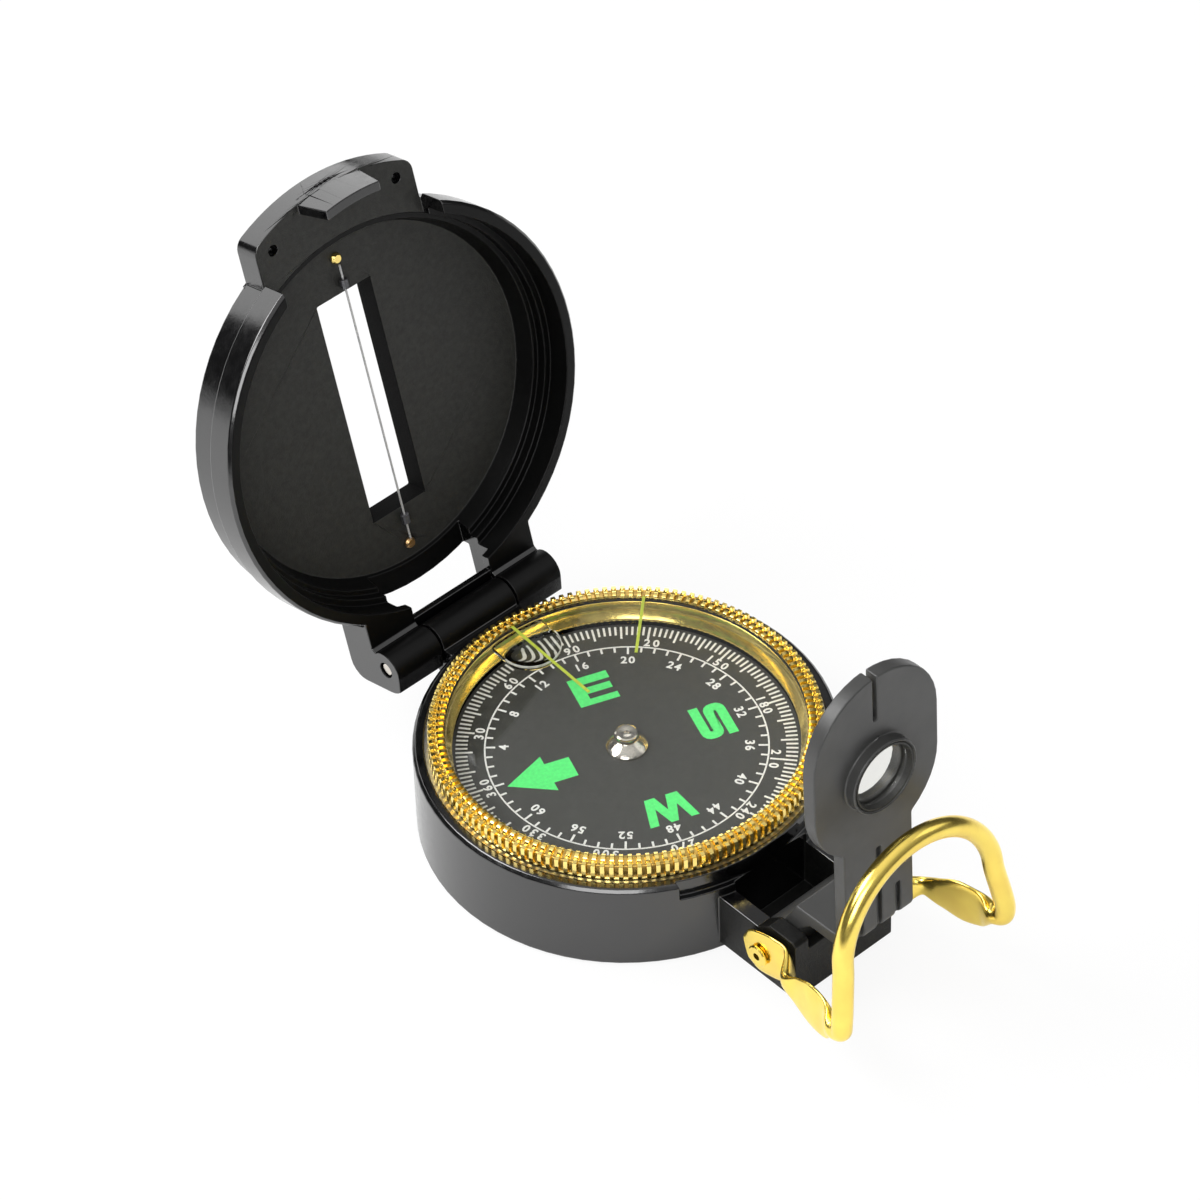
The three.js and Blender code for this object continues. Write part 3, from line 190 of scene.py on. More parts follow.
# The agreement of a face's normal with the rounded one, from a flat face to a worn edge
EDGE_RANGE = (1.0, 0.9)
EDGE_SAMPLES = 4


def edge_mask(tree):
    """One near an edge of the mesh and nought on its faces."""
    bevel = node(tree, "ShaderNodeBevel", samples=EDGE_SAMPLES)
    bevel.inputs["Radius"].default_value = WEAR_WIDTH * MM
    geometry = node(tree, "ShaderNodeNewGeometry")
    dot = node(tree, "ShaderNodeVectorMath", operation="DOT_PRODUCT")
    link(tree, bevel.outputs["Normal"], dot.inputs[0])
    link(tree, geometry.outputs["Normal"], dot.inputs[1])
    return ranged(tree, dot.outputs["Value"], *EDGE_RANGE, 0.0, 1.0)


def surface(name, colour, roughness, metallic=0.0, shade=0.12, spread=0.06, mottle=0.35,
            bump=0.02, bump_scale=6.0, wear=0.0, wear_colour=(0.12, 0.12, 0.12), specular=0.5):
    """A solid material whose colour, roughness and height vary a little from place to place.

    shade is how far the colour varies, spread the same for roughness, mottle their noise per mm,
    bump the height of the fine relief in mm and bump_scale its noise per mm, and wear how far
    the edges turn to wear_colour.
    """
    made = bpy.data.materials.new(name)
    made.use_nodes = True
    made.diffuse_color = (*colour, 1)
    tree = made.node_tree
    shader = tree.nodes["Principled BSDF"]
    shader.inputs["Metallic"].default_value = metallic
    shader.inputs["Specular IOR Level"].default_value = specular
    where = node(tree, "ShaderNodeTexCoord").outputs["Object"]
    broad = noise(tree, where, mottle)
    dark = tuple(c * (1 - shade) for c in colour)
    light = tuple(min(1.0, c * (1 + shade)) for c in colour)
    paint = mixed_colour(tree, ranged(tree, broad, *MOTTLE_RANGE, 0.0, 1.0), dark, light)
    fine = noise(tree, where, mottle * ROUGHNESS_NOISE_SHARE)
    rough = ranged(tree, fine, *ROUGHNESS_RANGE, roughness - spread, roughness + spread)
    if wear:
        patches = ranged(tree, noise(tree, where, WEAR_NOISE), *WEAR_RANGE, 0.0, wear)
        scuff = product(tree, edge_mask(tree), patches)
        paint = mixed_colour(tree, scuff, paint, wear_colour)
    link(tree, paint, shader.inputs["Base Color"])
    link(tree, rough, shader.inputs["Roughness"])
    if bump:
        relief = node(tree, "ShaderNodeBump")
        relief.inputs["Distance"].default_value = bump * MM
        link(tree, noise(tree, where, bump_scale, RELIEF_DETAIL), relief.inputs["Height"])
        link(tree, relief.outputs["Normal"], shader.inputs["Normal"])
    return made


def clear(name, colour, ior=1.49):
    """Clear plastic that lets the lamps through, with faint smears in its gloss."""
    made = bpy.data.materials.new(name)
    made.use_nodes = True
    made.diffuse_color = (*colour, 0.3)
    tree = made.node_tree
    shader = tree.nodes["Principled BSDF"]
    shader.inputs["Base Color"].default_value = (*colour, 1)
    shader.inputs["Transmission Weight"].default_value = 1.0
    shader.inputs["IOR"].default_value = ior
    where = node(tree, "ShaderNodeTexCoord").outputs["Object"]
    smear = ranged(tree, noise(tree, where, SMEAR_NOISE), *SMEAR_RANGE, 0.0, SMEAR_ROUGHNESS)
    link(tree, smear, shader.inputs["Roughness"])
    through = node(tree, "ShaderNodeBsdfTransparent")
    rays = node(tree, "ShaderNodeLightPath")
    either = node(tree, "ShaderNodeMath", operation="MAXIMUM")
    link(tree, rays.outputs["Is Shadow Ray"], either.inputs[0])
    link(tree, rays.outputs["Is Diffuse Ray"], either.inputs[1])
    mix = node(tree, "ShaderNodeMixShader")
    link(tree, either.outputs[0], mix.inputs["Fac"])
    link(tree, shader.outputs["BSDF"], mix.inputs[1])
    link(tree, through.outputs["BSDF"], mix.inputs[2])
    link(tree, mix.outputs["Shader"], tree.nodes["Material Output"].inputs["Surface"])
    return made


MATERIALS = {
    "black": surface("black_gloss_plastic", (0.0014, 0.0014, 0.0016), 0.15, shade=0.3, spread=0.05,
                     bump=0.005, bump_scale=2.5, wear=0.4, wear_colour=(0.07, 0.07, 0.07), specular=0.95),
    "grain": surface("black_grained_plastic", (0.019, 0.019, 0.017), 0.55, shade=0.2, spread=0.06,
                     mottle=1.2, bump=0.05, bump_scale=5.0, specular=0.4),
    # Painted shade: a darker, duller copy of the black for the hinge knuckles and the lid's inner wall and
    # rim
    "deep_painted_shade": surface("black_painted_shade_deep", (0.0012, 0.0012, 0.0012), 0.4, mottle=1.0, bump=0.01, bump_scale=5.0,
                    wear=0.5, wear_colour=(0.03, 0.03, 0.03), specular=0.2),
    "worn": surface("black_rough_plastic", (0.004, 0.004, 0.0036), 0.42, shade=0.4, spread=0.1, mottle=1.5,
                    bump=0.05, bump_scale=5.0, wear=0.5, wear_colour=(0.06, 0.06, 0.055), specular=0.25),
    # Painted shade: a matte black with almost no gloss for the slot's side walls
    "pit_painted_shade": surface("black_painted_shade_pit", (0.0015, 0.0015, 0.0015), 0.9, mottle=2.0, bump=0.01, specular=0.12),
    "grey": surface("grey_satin_plastic", (0.042, 0.042, 0.041), 0.4, shade=0.08, spread=0.05,
                    mottle=0.2, bump=0.008, bump_scale=4.0, wear=0.5, wear_colour=(0.14, 0.14, 0.14)),
    "dial": surface("dial_black", (0.027, 0.027, 0.023), 0.6, shade=0.1, mottle=0.8, bump=0.01,
                    bump_scale=9.0),
    # Painted shade: a darker brown gold for the gaps between the bezel's teeth
    "gold_gap_painted_shade": surface("gold_plate_gap_painted_shade", (0.62, 0.4, 0.1), 0.3, metallic=1.0, shade=0.2, spread=0.06,
                        mottle=0.6, bump=0.004, bump_scale=4.0),
    "gold": surface("gold_plate", (0.99, 0.75, 0.24), 0.17, metallic=1.0, shade=0.05, spread=0.06,
                    mottle=0.6, bump=0.004, bump_scale=4.0),
    "gold_wire": surface("gold_wire", (1.0, 0.74, 0.16), 0.22, metallic=1.0, shade=0.05, spread=0.04,
                         mottle=0.3, bump=0.003, bump_scale=1.2),
    "wire_steel": surface("sight_wire_steel", (0.5, 0.5, 0.5), 0.4, metallic=0.4, shade=0.1, mottle=1.0,
                          bump=0.002, bump_scale=8.0),
    "brass": surface("dull_brass", (0.6, 0.38, 0.18), 0.34, metallic=1.0, shade=0.2, mottle=2.0,
                     bump=0.01, bump_scale=8.0),
    "steel": surface("drawn_steel", (0.5, 0.5, 0.52), 0.32, metallic=1.0, shade=0.15, mottle=2.0,
                     bump=0.006, bump_scale=8.0),
    "chrome": surface("turned_chrome", (0.62, 0.58, 0.52), 0.15, metallic=1.0, shade=0.05, spread=0.04,
                      mottle=1.5, bump=0.004, bump_scale=5.0),
    "magnet": surface("sintered_magnet", (0.16, 0.16, 0.17), 0.5, metallic=1.0, mottle=3.0, bump=0.02),
    "rubber": surface("black_rubber", (0.015, 0.015, 0.015), 0.8, mottle=2.0, bump=0.02),
    "white": surface("dial_white_ink", (0.75, 0.75, 0.72), 0.55, shade=0.08, mottle=3.0, bump=0.004,
                     bump_scale=12.0),
    "green": surface("dial_green_ink", (0.08, 0.74, 0.165), 0.5, shade=0.07, mottle=2.0, bump=0.006,
                     bump_scale=10.0),
    "index": surface("index_line_paint", (0.42, 0.5, 0.05), 0.4, shade=0.1, mottle=2.0, bump=0.006),
    "frost": surface("frosted_edge", (0.6, 0.6, 0.56), 0.5, shade=0.2, mottle=1.5, bump=0.01),
    "clear": clear("clear_acrylic", (0.97, 0.98, 0.97)),
    "lens": clear("clear_lens", (0.86, 0.86, 0.83), ior=1.1),
    "ruby": clear("ruby_jewel", (0.6, 0.03, 0.07), ior=1.76),
}


# Meshes: the angle in degrees between faces from which the edge between them stays sharp
SHARP_ANGLE = 32.0
SHARP_ANGLE_BEZEL = 50.0
SHARP_ANGLE_CAP = 25.0
SHARP_ANGLE_LENS = 40.0
SHARP_ANGLE_RING = 40.0


def object_from(name, points, faces, scale=MM):
    mesh = bpy.data.meshes.new(name)
    mesh.from_pydata([Vector(p) * scale for p in points], [], faces)
    mesh.validate()
    made = bpy.data.objects.new(name, mesh)
    scene.collection.objects.link(made)
    return made


def smooth(made, sharp_angle=SHARP_ANGLE):
    made.data.shade_smooth()
    made.data.set_sharp_from_angle(angle=math.radians(sharp_angle))
    return made


def painted(made, *keys):
    made.data.materials.clear()
    for key in keys:
        made.data.materials.append(MATERIALS[key])
    return made


def finished(made, finish_of, *keys):
    """Gives each face the material, out of keys, that finish_of names for it."""
    painted(made, *keys)
    for face in made.data.polygons:
        face.material_index = keys.index(finish_of(face))
    return made


def placed(made, body, slot, *replaced):
    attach(made, body)
    if replaced:
        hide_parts(*replaced)
    return made


def turned(name, profile, steps):
    """A mesh turned about +Z from a profile of (radius, height).

    A radius of nought is one point, and a profile that starts away from the axis is closed.
    """
    points = []
    rings = []
    for radius, height in profile:
        if radius == 0:
            rings.append([len(points)])
            points.append((0, 0, height))
            continue
        rings.append(list(range(len(points), len(points) + steps)))
        for i in range(steps):
            angle = 2 * math.pi * i / steps
            points.append((radius * math.cos(angle), radius * math.sin(angle), height))
    faces = []
    pairs = list(zip(rings, rings[1:]))
    if profile[0][0] != 0:
        pairs.append((rings[-1], rings[0]))
    for low, high in pairs:
        for i in range(steps):
            k = (i + 1) % steps
            if len(low) == 1:
                faces.append((low[0], high[k], high[i]))
            elif len(high) == 1:
                faces.append((low[i], low[k], high[0]))
            else:
                faces.append((low[i], low[k], high[k], high[i]))
    return outward(object_from(name, points, faces))


def outward(made):
    """Turns the faces of a closed mesh outward."""
    work = bmesh.new()
    work.from_mesh(made.data)
    bmesh.ops.recalc_face_normals(work, faces=work.faces)
    work.to_mesh(made.data)
    work.free()
    return made


# Merging and rounding of the CAD model's faces: angles in degrees, the weld in metres
WELD_DISTANCE = 2e-6
FLAT_ANGLE = 0.8
EDGE_ANGLE = 28.0
EDGE_SEGMENTS = 2


def cad_copy(node_name, name, edge_width, held=None):
    """A copy of a CAD node with its flat faces merged and its edges rounded.

    held says of a face's middle whether the face stays as it is.
    """
    source = nodes[node_name].data
    points = [vertex.co for vertex in source.vertices]
    faces = [tuple(face.vertices) for face in source.polygons]
    made = object_from(name, points, faces, 1.0)
    work = bmesh.new()
    work.from_mesh(made.data)
    bmesh.ops.remove_doubles(work, verts=work.verts, dist=WELD_DISTANCE)

    def stays(edge):
        return held and all(held(face.calc_center_median()) for face in edge.link_faces)

    edges = [edge for edge in work.edges if not stays(edge)]
    corners = [] if held else work.verts
    bmesh.ops.dissolve_limit(work, angle_limit=math.radians(FLAT_ANGLE), verts=corners, edges=edges)
    bmesh.ops.recalc_face_normals(work, faces=work.faces)
    work.to_mesh(made.data)
    work.free()
    smooth(made, EDGE_ANGLE)
    bevel = made.modifiers.new("rounded_edges", "BEVEL")
    bevel.width = edge_width * MM
    bevel.segments = EDGE_SEGMENTS
    bevel.limit_method = "ANGLE"
    bevel.angle_limit = math.radians(EDGE_ANGLE)
    bevel.use_clamp_overlap = False
    bevel.harden_normals = True
    bevel.miter_outer = "MITER_ARC"
    return made


def closed_frame(point):
    """Where a point of the open lid lies when the compass is closed."""
    hinge = Vector((0, HINGE_Y, HINGE_Z)) * MM
    return Matrix.Rotation(math.radians(LID_ANGLE), 3, "X") @ (point - hinge) + hinge


# Widths of the rounded edges
CASE_EDGE = 0.18
LID_EDGE = 0.16
EYEPIECE_EDGE = 0.25

# Where the finish and the painted shade change on the case and the lid: the bracket's root in Y, reaches
# from the hinge and from the lid's middle, the closed lid's flat levels and how near to them a face counts
# as theirs
BRACKET_ROOT = -31.0
KNUCKLE_REACH = 2.9
LID_FLOOR_REACH = 25.8
LID_MOUTH_REACH = 27.8
SLOT_REACH = 17.2
LID_LEVELS = (LID_RIM, LID_STEP, LID_INNER_STEP, LID_FLOOR, LID_TOP)
SAME_LEVEL = 0.01
NEAR_FLOOR = 0.1
NEAR_RIM = 0.2

# Least upright share of a level face's normal, and least share along X at a knuckle's end
LEVEL_NORMAL = 0.99
END_NORMAL = 0.5


def on_knuckle(middle, normal):
    """Whether a face runs round the hinge's line."""
    reach = math.hypot(middle.y - HINGE_Y, middle.z - HINGE_Z)
    return reach < KNUCKLE_REACH and abs(normal.x) < END_NORMAL


# Rough plastic on the bracket, and painted shade, a darker and duller black, on the faces round the hinge
def case_finish(face):
    middle = face.center / MM
    if middle.y < BRACKET_ROOT:
        return "worn"
    return "deep_painted_shade" if on_knuckle(middle, face.normal) else "black"


# Painted shade on the slot's side walls, the inner wall, the rim and the knuckles; grained plastic on the
# floor and under the tab
def lid_finish(face):
    middle = closed_frame(face.center) / MM
    reach = math.hypot(middle.x, middle.y)
    rise = closed_frame(face.center + face.normal * MM).z / MM - middle.z
    level = abs(rise) > LEVEL_NORMAL
    beside_slot = abs(middle.x) < SLOT_HALF_WIDTH + SAME_LEVEL and abs(middle.y) < SLOT_REACH
    if beside_slot and middle.z > LID_FLOOR + SAME_LEVEL and not level:
        return "pit_painted_shade"
    on_floor = reach < LID_FLOOR_REACH and abs(middle.z - LID_FLOOR) < NEAR_FLOOR
    under_tab = level and abs(middle.z - TAB_BOTTOM) < SAME_LEVEL and middle.y < 0
    if on_floor or under_tab:
        return "grain"
    inner_wall = reach < LID_MOUTH_REACH and LID_RIM < middle.z < LID_FLOOR
    on_rim = level and abs(middle.z - LID_RIM) < NEAR_RIM
    if inner_wall or on_rim or on_knuckle(middle, face.normal):
        return "deep_painted_shade"
    return "black"


def on_lid_plate(point):
    """Whether a point lies on a flat ring or plate of the lid, which have holes in them."""
    height = closed_frame(point).z / MM
    return min(abs(height - level) for level in LID_LEVELS) < SAME_LEVEL


case = cad_copy("case_shell", "case_body", CASE_EDGE)
finished(case, case_finish, "black", "worn", "deep_painted_shade")
placed(case, "case", "black_plastic", "case_shell")

lid = cad_copy("lid_shell", "lid_body", LID_EDGE, on_lid_plate)
finished(lid, lid_finish, "black", "grain", "pit_painted_shade", "deep_painted_shade")
placed(lid, "lid", "black_plastic", "lid_shell")

eyepiece = cad_copy("eyepiece_arm", "eyepiece_body", EYEPIECE_EDGE)
painted(eyepiece, "grey")
placed(eyepiece, "eyepiece", "grey_plastic", "eyepiece_arm")


# How far in from the rim the teeth reach, which is further than on the CAD solid
TEETH_REACH = 2.28
BEZEL_INNER_EDGE = BEZEL_RADIUS - TEETH_REACH

# Bezel, up its outside: heights of skirt and neck over the foot, depths in from the skirt's radius
# and the drop of the flank's top under the bezel's
SKIRT_EDGE = 0.2
SKIRT_HEIGHT = 0.6
NECK_DEPTH = 0.5
NECK_TOP = 1.4
FLANK_DEPTH = 0.1
FLANK_DROP = 2.55

# The outer row of teeth, a valley and the inner row. Each point has how far in from the rim and
# down from the top it lies on a crest, and how much further in and down it lies in a gap.
TEETH_SECTION = (
    (0.0, 2.5, 0.5, 0.0),
    (0.0, 0.6, 0.5, 0.1),
    (0.12, 0.36, 0.5, 0.25),
    (0.65, 0.3, 0.0, 0.35),
    (0.85, 0.66, 0.0, 0.0),
    (1.05, 0.25, 0.0, 0.38),
    (1.25, 0.02, 0.0, 0.48),
    (TEETH_REACH - 0.15, 0.0, 0.0, 0.48),
    (TEETH_REACH, 0.14, 0.0, 0.3),
)

# The inside: clear of the crystal, past its ledge and down a slope to the lip
CRYSTAL_CLEARANCE = 0.04
THROAT_EDGE = 0.05
SLOPE_TOP = 1.5
SLOPE_EDGE_WIDTH = 0.07
SLOPE_EDGE_HEIGHT = 1.32
LIP_EDGE = 0.1
LIP_SLOPE_FOOT = 0.3
LIP_HEIGHT = 0.18

# Each tooth has four stations round the bezel, as shares of its pitch, and the gap follows the last
KNURL_TEETH = 136
TOOTH_STEPS = (0.0, 0.1, 0.55, 0.65)
TOOTH_HEIGHTS = (0.0, 1.0, 1.0, 0.0)


def bezel_outside():
    return [
        (BEZEL_LIP_RADIUS, BEZEL_FOOT),
        (BEZEL_SKIRT_RADIUS - SKIRT_EDGE, BEZEL_FOOT),
        (BEZEL_SKIRT_RADIUS, BEZEL_FOOT + SKIRT_EDGE),
        (BEZEL_SKIRT_RADIUS, BEZEL_FOOT + SKIRT_HEIGHT),
        (BEZEL_SKIRT_RADIUS - NECK_DEPTH, BEZEL_FOOT + SKIRT_HEIGHT),
        (BEZEL_SKIRT_RADIUS - NECK_DEPTH, BEZEL_FOOT + NECK_TOP),
        (BEZEL_SKIRT_RADIUS - FLANK_DEPTH, BEZEL_FOOT + NECK_TOP),
        (BEZEL_SKIRT_RADIUS - FLANK_DEPTH, BEZEL_TOP - FLANK_DROP),
    ]


def bezel_teeth(gap):
    """The section of both rows, for a gap of nought on a crest and one between two crests."""
    return [
        (BEZEL_RADIUS - inward - gap_inward * gap, BEZEL_TOP - drop - gap_drop * gap)
        for inward, drop, gap_inward, gap_drop in TEETH_SECTION
    ]


def bezel_inside():
    return [
        (BEZEL_INNER_EDGE, CRYSTAL_TOP + CRYSTAL_CLEARANCE),
        (BEZEL_MOUTH_RADIUS, CRYSTAL_TOP + CRYSTAL_CLEARANCE),
        (BEZEL_MOUTH_RADIUS, BEZEL_LEDGE),
        (BEZEL_THROAT_RADIUS + THROAT_EDGE, BEZEL_LEDGE),
        (BEZEL_THROAT_RADIUS, BEZEL_LEDGE - THROAT_EDGE),
        (BEZEL_THROAT_RADIUS, BEZEL_FOOT + SLOPE_TOP),
        (BEZEL_THROAT_RADIUS - SLOPE_EDGE_WIDTH, BEZEL_FOOT + SLOPE_EDGE_HEIGHT),
        (BEZEL_LIP_RADIUS + LIP_EDGE, BEZEL_FOOT + LIP_SLOPE_FOOT),
        (BEZEL_LIP_RADIUS, BEZEL_FOOT + LIP_HEIGHT),
    ]


def knurled_bezel():
    points = []
    rings = []
    for tooth in range(KNURL_TEETH):
        for share, raised in zip(TOOTH_STEPS, TOOTH_HEIGHTS):
            angle = 2 * math.pi * (tooth + share) / KNURL_TEETH
            profile = bezel_outside() + bezel_teeth(1.0 - raised) + bezel_inside()
            rings.append(range(len(points), len(points) + len(profile)))
            points += [(r * math.cos(angle), r * math.sin(angle), z) for r, z in profile]
    count = len(rings[0])
    faces = []
    for ring, following in zip(rings, [*rings[1:], rings[0]]):
        for i in range(count):
            k = (i + 1) % count
            faces.append((ring[i], following[i], following[k], ring[k]))
    made = outward(object_from("bezel_knurled", points, faces))
    first_side = len(bezel_outside()) - 1

    # The gap faces of both rows of teeth get the darker gold, painted shade between the crests
    def tooth_finish(face):
        station, side = divmod(face.index, count)
        in_gap = station % len(TOOTH_STEPS) == len(TOOTH_STEPS) - 1
        on_teeth = first_side <= side < first_side + len(TEETH_SECTION)
        return "gold_gap_painted_shade" if in_gap and on_teeth else "gold"

    return finished(made, tooth_finish, "gold", "gold_gap_painted_shade")


bezel = smooth(knurled_bezel(), SHARP_ANGLE_BEZEL)
placed(bezel, "bezel", "gold_metal", "bezel_ring")


# Dial print: each mark is a thin plate on the card's top, in one mesh per ink. North's azimuth is
# read from the photo
CARD_NORTH = -69.4
PRINT_THICKNESS = 0.02
DEGREE_TICKS = 180
DEGREE_TICK_WIDTH = 0.3
DEGREE_TICK_OUTER = 22.8
DEGREE_TICK_INNER = 21.2
DEGREE_TICK_LONG_INNER = 20.5
DEGREE_LONG_TICK_EVERY = 5
DEGREE_NUMBER_RADIUS = 19.75
DEGREE_NUMBER_STEP = 30
DEGREE_NUMBER_SPACING = 1.4
SCALE_RING_RADIUS = 18.9
SCALE_RING_WIDTH = 0.22
SCALE_STEPS = 64
SCALE_TICK_WIDTH = 0.3
SCALE_TICK_INNER = 17.9
SCALE_TICK_LONG_INNER = 17.5
SCALE_LONG_TICK_EVERY = 4
SCALE_NUMBER_RADIUS = 16.3
SCALE_NUMBER_SPACING = 1.2
NUMBER_HEIGHT = 1.3
NUMBER_BOLDNESS = 0.05
NUMBER_CURVE_STEPS = 3
FONT_HEIGHT_SHARE = 0.73


class Print:
    """Collects thin plates for one mesh."""

    def __init__(self):
        self.points = []
        self.faces = []

    def plate(self, outline):
        """A plate over an outline of (x, y) that runs counter-clockwise."""
        first = len(self.points)
        count = len(outline)
        for height in (CARD_TOP, CARD_TOP + PRINT_THICKNESS):
            self.points += [(x, y, height) for x, y in outline]
        self.faces.append(tuple(range(first + count, first + 2 * count)))
        self.faces.append(tuple(range(first + count - 1, first - 1, -1)))
        for i in range(count):
            k = (i + 1) % count
            self.faces.append((first + i, first + k, first + count + k, first + count + i))

    def ring(self, inner, outer):
        first = len(self.points)
        for i in range(ROUND_STEPS):
            angle = 2 * math.pi * i / ROUND_STEPS
            for radius, height in ((inner, 0), (outer, 0), (outer, 1), (inner, 1)):
                z = CARD_TOP + height * PRINT_THICKNESS
                self.points.append((radius * math.cos(angle), radius * math.sin(angle), z))
        for i in range(ROUND_STEPS):
            a = first + 4 * i
            b = first + 4 * ((i + 1) % ROUND_STEPS)
            for side in range(4):
                after = (side + 1) % 4
                self.faces.append((a + side, b + side, b + after, a + after))

    def mesh(self, made, place):
        """Adds an evaluated text's mesh, carried by place."""
        first = len(self.points)
        self.points += [tuple(place @ v.co) for v in made.vertices]
        self.faces += [tuple(first + i for i in p.vertices) for p in made.polygons]


def on_card(azimuth, right, out):
    """A point of the card from its place to the right of and outward along an azimuth."""
    angle = math.radians(azimuth)
    return (
        right * math.cos(angle) + out * math.sin(angle),
        -right * math.sin(angle) + out * math.cos(angle),
    )


def radial_tick(ink, azimuth, inner, outer, width):
    half = width / 2
    corners = ((-half, inner), (half, inner), (half, outer), (-half, outer))
    ink.plate([on_card(azimuth, right, out) for right, out in corners])


def number(ink, value, azimuth, radius, spacing):
    data = bpy.data.curves.new("number", "FONT")
    data.body = str(value)
    data.size = NUMBER_HEIGHT / FONT_HEIGHT_SHARE
    data.align_x = "CENTER"
    data.align_y = "CENTER"
    data.space_character = spacing
    data.extrude = PRINT_THICKNESS / 2
    data.resolution_u = NUMBER_CURVE_STEPS
    data.offset = NUMBER_BOLDNESS
    text = bpy.data.objects.new("number", data)
    scene.collection.objects.link(text)
    bpy.context.view_layer.update()
    shape = bpy.data.meshes.new_from_object(text.evaluated_get(bpy.context.evaluated_depsgraph_get()))
    x, y = on_card(azimuth, 0, radius)
    turn = Matrix.Rotation(-math.radians(azimuth), 4, "Z")
    ink.mesh(shape, Matrix.Translation((x, y, CARD_TOP + PRINT_THICKNESS / 2)) @ turn)
    bpy.data.objects.remove(text)
    bpy.data.curves.remove(data)
    bpy.data.meshes.remove(shape)


def white_print():
    ink = Print()
    for i in range(DEGREE_TICKS):
        inner = DEGREE_TICK_INNER if i % DEGREE_LONG_TICK_EVERY else DEGREE_TICK_LONG_INNER
        radial_tick(ink, CARD_NORTH + i * 360 / DEGREE_TICKS, inner, DEGREE_TICK_OUTER, DEGREE_TICK_WIDTH)
    ink.ring(SCALE_RING_RADIUS - SCALE_RING_WIDTH / 2, SCALE_RING_RADIUS + SCALE_RING_WIDTH / 2)
    for i in range(SCALE_STEPS):
        inner = SCALE_TICK_INNER if i % SCALE_LONG_TICK_EVERY else SCALE_TICK_LONG_INNER
        radial_tick(ink, CARD_NORTH + i * 360 / SCALE_STEPS, inner, SCALE_RING_RADIUS, SCALE_TICK_WIDTH)
    for degrees in range(DEGREE_NUMBER_STEP, 360 + 1, DEGREE_NUMBER_STEP):
        number(ink, degrees, CARD_NORTH + degrees, DEGREE_NUMBER_RADIUS, DEGREE_NUMBER_SPACING)
    for step in range(SCALE_LONG_TICK_EVERY, SCALE_STEPS, SCALE_LONG_TICK_EVERY):
        azimuth = CARD_NORTH + step * 360 / SCALE_STEPS
        number(ink, step, azimuth, SCALE_NUMBER_RADIUS, SCALE_NUMBER_SPACING)
    return object_from("dial_print_white", ink.points, ink.faces)


# The least share of a half width that a mitre is worked out with, so that it can't grow long
MITRE_LIMIT = 0.4


def stroke(points, width):
    """The outline of a flat stroke of one width along a line of points, with mitred corners."""
    left = []
    right = []
    for i, point in enumerate(points):
        here = Vector(point)
        before = Vector(points[i - 1]) if i else None
        after = Vector(points[i + 1]) if i + 1 < len(points) else None
        ways = []
        if before:
            ways.append((here - before).normalized())
        if after:
            ways.append((after - here).normalized())
        normals = [Vector((-way.y, way.x)) for way in ways]
        across = sum(normals, Vector((0, 0))).normalized()
        reach = width / 2 / max(MITRE_LIMIT, across.dot(normals[0]))
        left.append(here + across * reach)
        right.append(here - across * reach)
    return [tuple(p) for p in right] + [tuple(p) for p in reversed(left)]


def rounded(points, radius, steps=4):
    """A line of points whose inner corners are rounded."""
    made = [points[0]]
    for before, here, after in zip(points, points[1:], points[2:]):
        corner = Vector(here)
        start = corner + (Vector(before) - corner).normalized() * radius
        end = corner + (Vector(after) - corner).normalized() * radius
        for i in range(steps + 1):
            t = i / steps
            made.append(tuple(start * (1 - t) ** 2 + corner * 2 * t * (1 - t) + end * t ** 2))
    made.append(points[-1])
    return made


# Outlines of the letters and the arrow, to the right of and outward along their own azimuths
LETTER_E = [
    (-2.9, 9.1), (2.75, 9.1), (2.75, 10.2), (-1.15, 10.2), (-1.15, 11.2), (2.5, 11.2), (2.5, 12.4),
    (-1.15, 12.4), (-1.15, 13.1), (2.75, 13.1), (2.75, 14.5), (-2.9, 14.5),
]
LETTER_S_LINE = [(3.25, 14.15), (-2.3, 14.15), (-2.3, 12.4), (2.6, 12.4), (2.6, 10.6), (-3.0, 10.6)]
LETTER_S_WIDTH = 1.35
LETTER_S_CORNER = 0.8
LETTER_W = [
    (-2.9, 10.3), (-1.28, 10.3), (-0.62, 13.0), (0.32, 10.3), (1.75, 10.3), (2.82, 15.3), (1.56, 15.3),
    (0.95, 12.3), (-0.16, 15.3), (-1.2, 15.3), (-2.1, 12.3), (-3.0, 15.3), (-4.14, 15.3),
]
ARROW = [
    (-2.45, 7.87), (1.2, 7.87), (1.2, 11.34), (2.74, 11.34), (-0.7, 17.3), (-3.98, 11.34), (-2.45, 11.34),
]


def green_print():
    ink = Print()
    for turn, outline in ((90, LETTER_E), (270, LETTER_W), (0, ARROW)):
        ink.plate([on_card(CARD_NORTH + turn, right, out) for right, out in outline])
    line = stroke(rounded(LETTER_S_LINE, LETTER_S_CORNER), LETTER_S_WIDTH)
    ink.plate([on_card(CARD_NORTH + 180, right, out) for right, out in line])
    return object_from("dial_print_green", ink.points, ink.faces)


placed(painted(outward(white_print()), "white"), "card", "dial_black")
placed(painted(outward(green_print()), "green"), "card", "dial_black")

# Card, cap and crystal
CARD_EDGE = 0.05
CRYSTAL_EDGE = 0.05
CAP_STEPS = 64
CAP_SECTION = [
    (0, CAP_TOP - 0.3), (0.3, CAP_TOP - 0.3), (0.38, CAP_TOP - 0.04), (0.5, CAP_TOP), (1.35, CAP_TOP),
    (1.55, CAP_TOP - 0.1), (1.68, CAP_TOP - 0.35), (CAP_HEAD_RADIUS, CAP_TOP - 0.6), (1.62, 13.45),
    (1.3, 13.3), (1.25, 13.1), (1.4, 12.95), (2.0, 12.6), (2.65, 12.1), (CAP_SKIRT_RADIUS, 11.95),
    (CAP_SKIRT_RADIUS, CARD_TOP), (1.2, CARD_TOP), (1.2, CAP_TOP - 0.5), (0, CAP_TOP - 0.5),
]

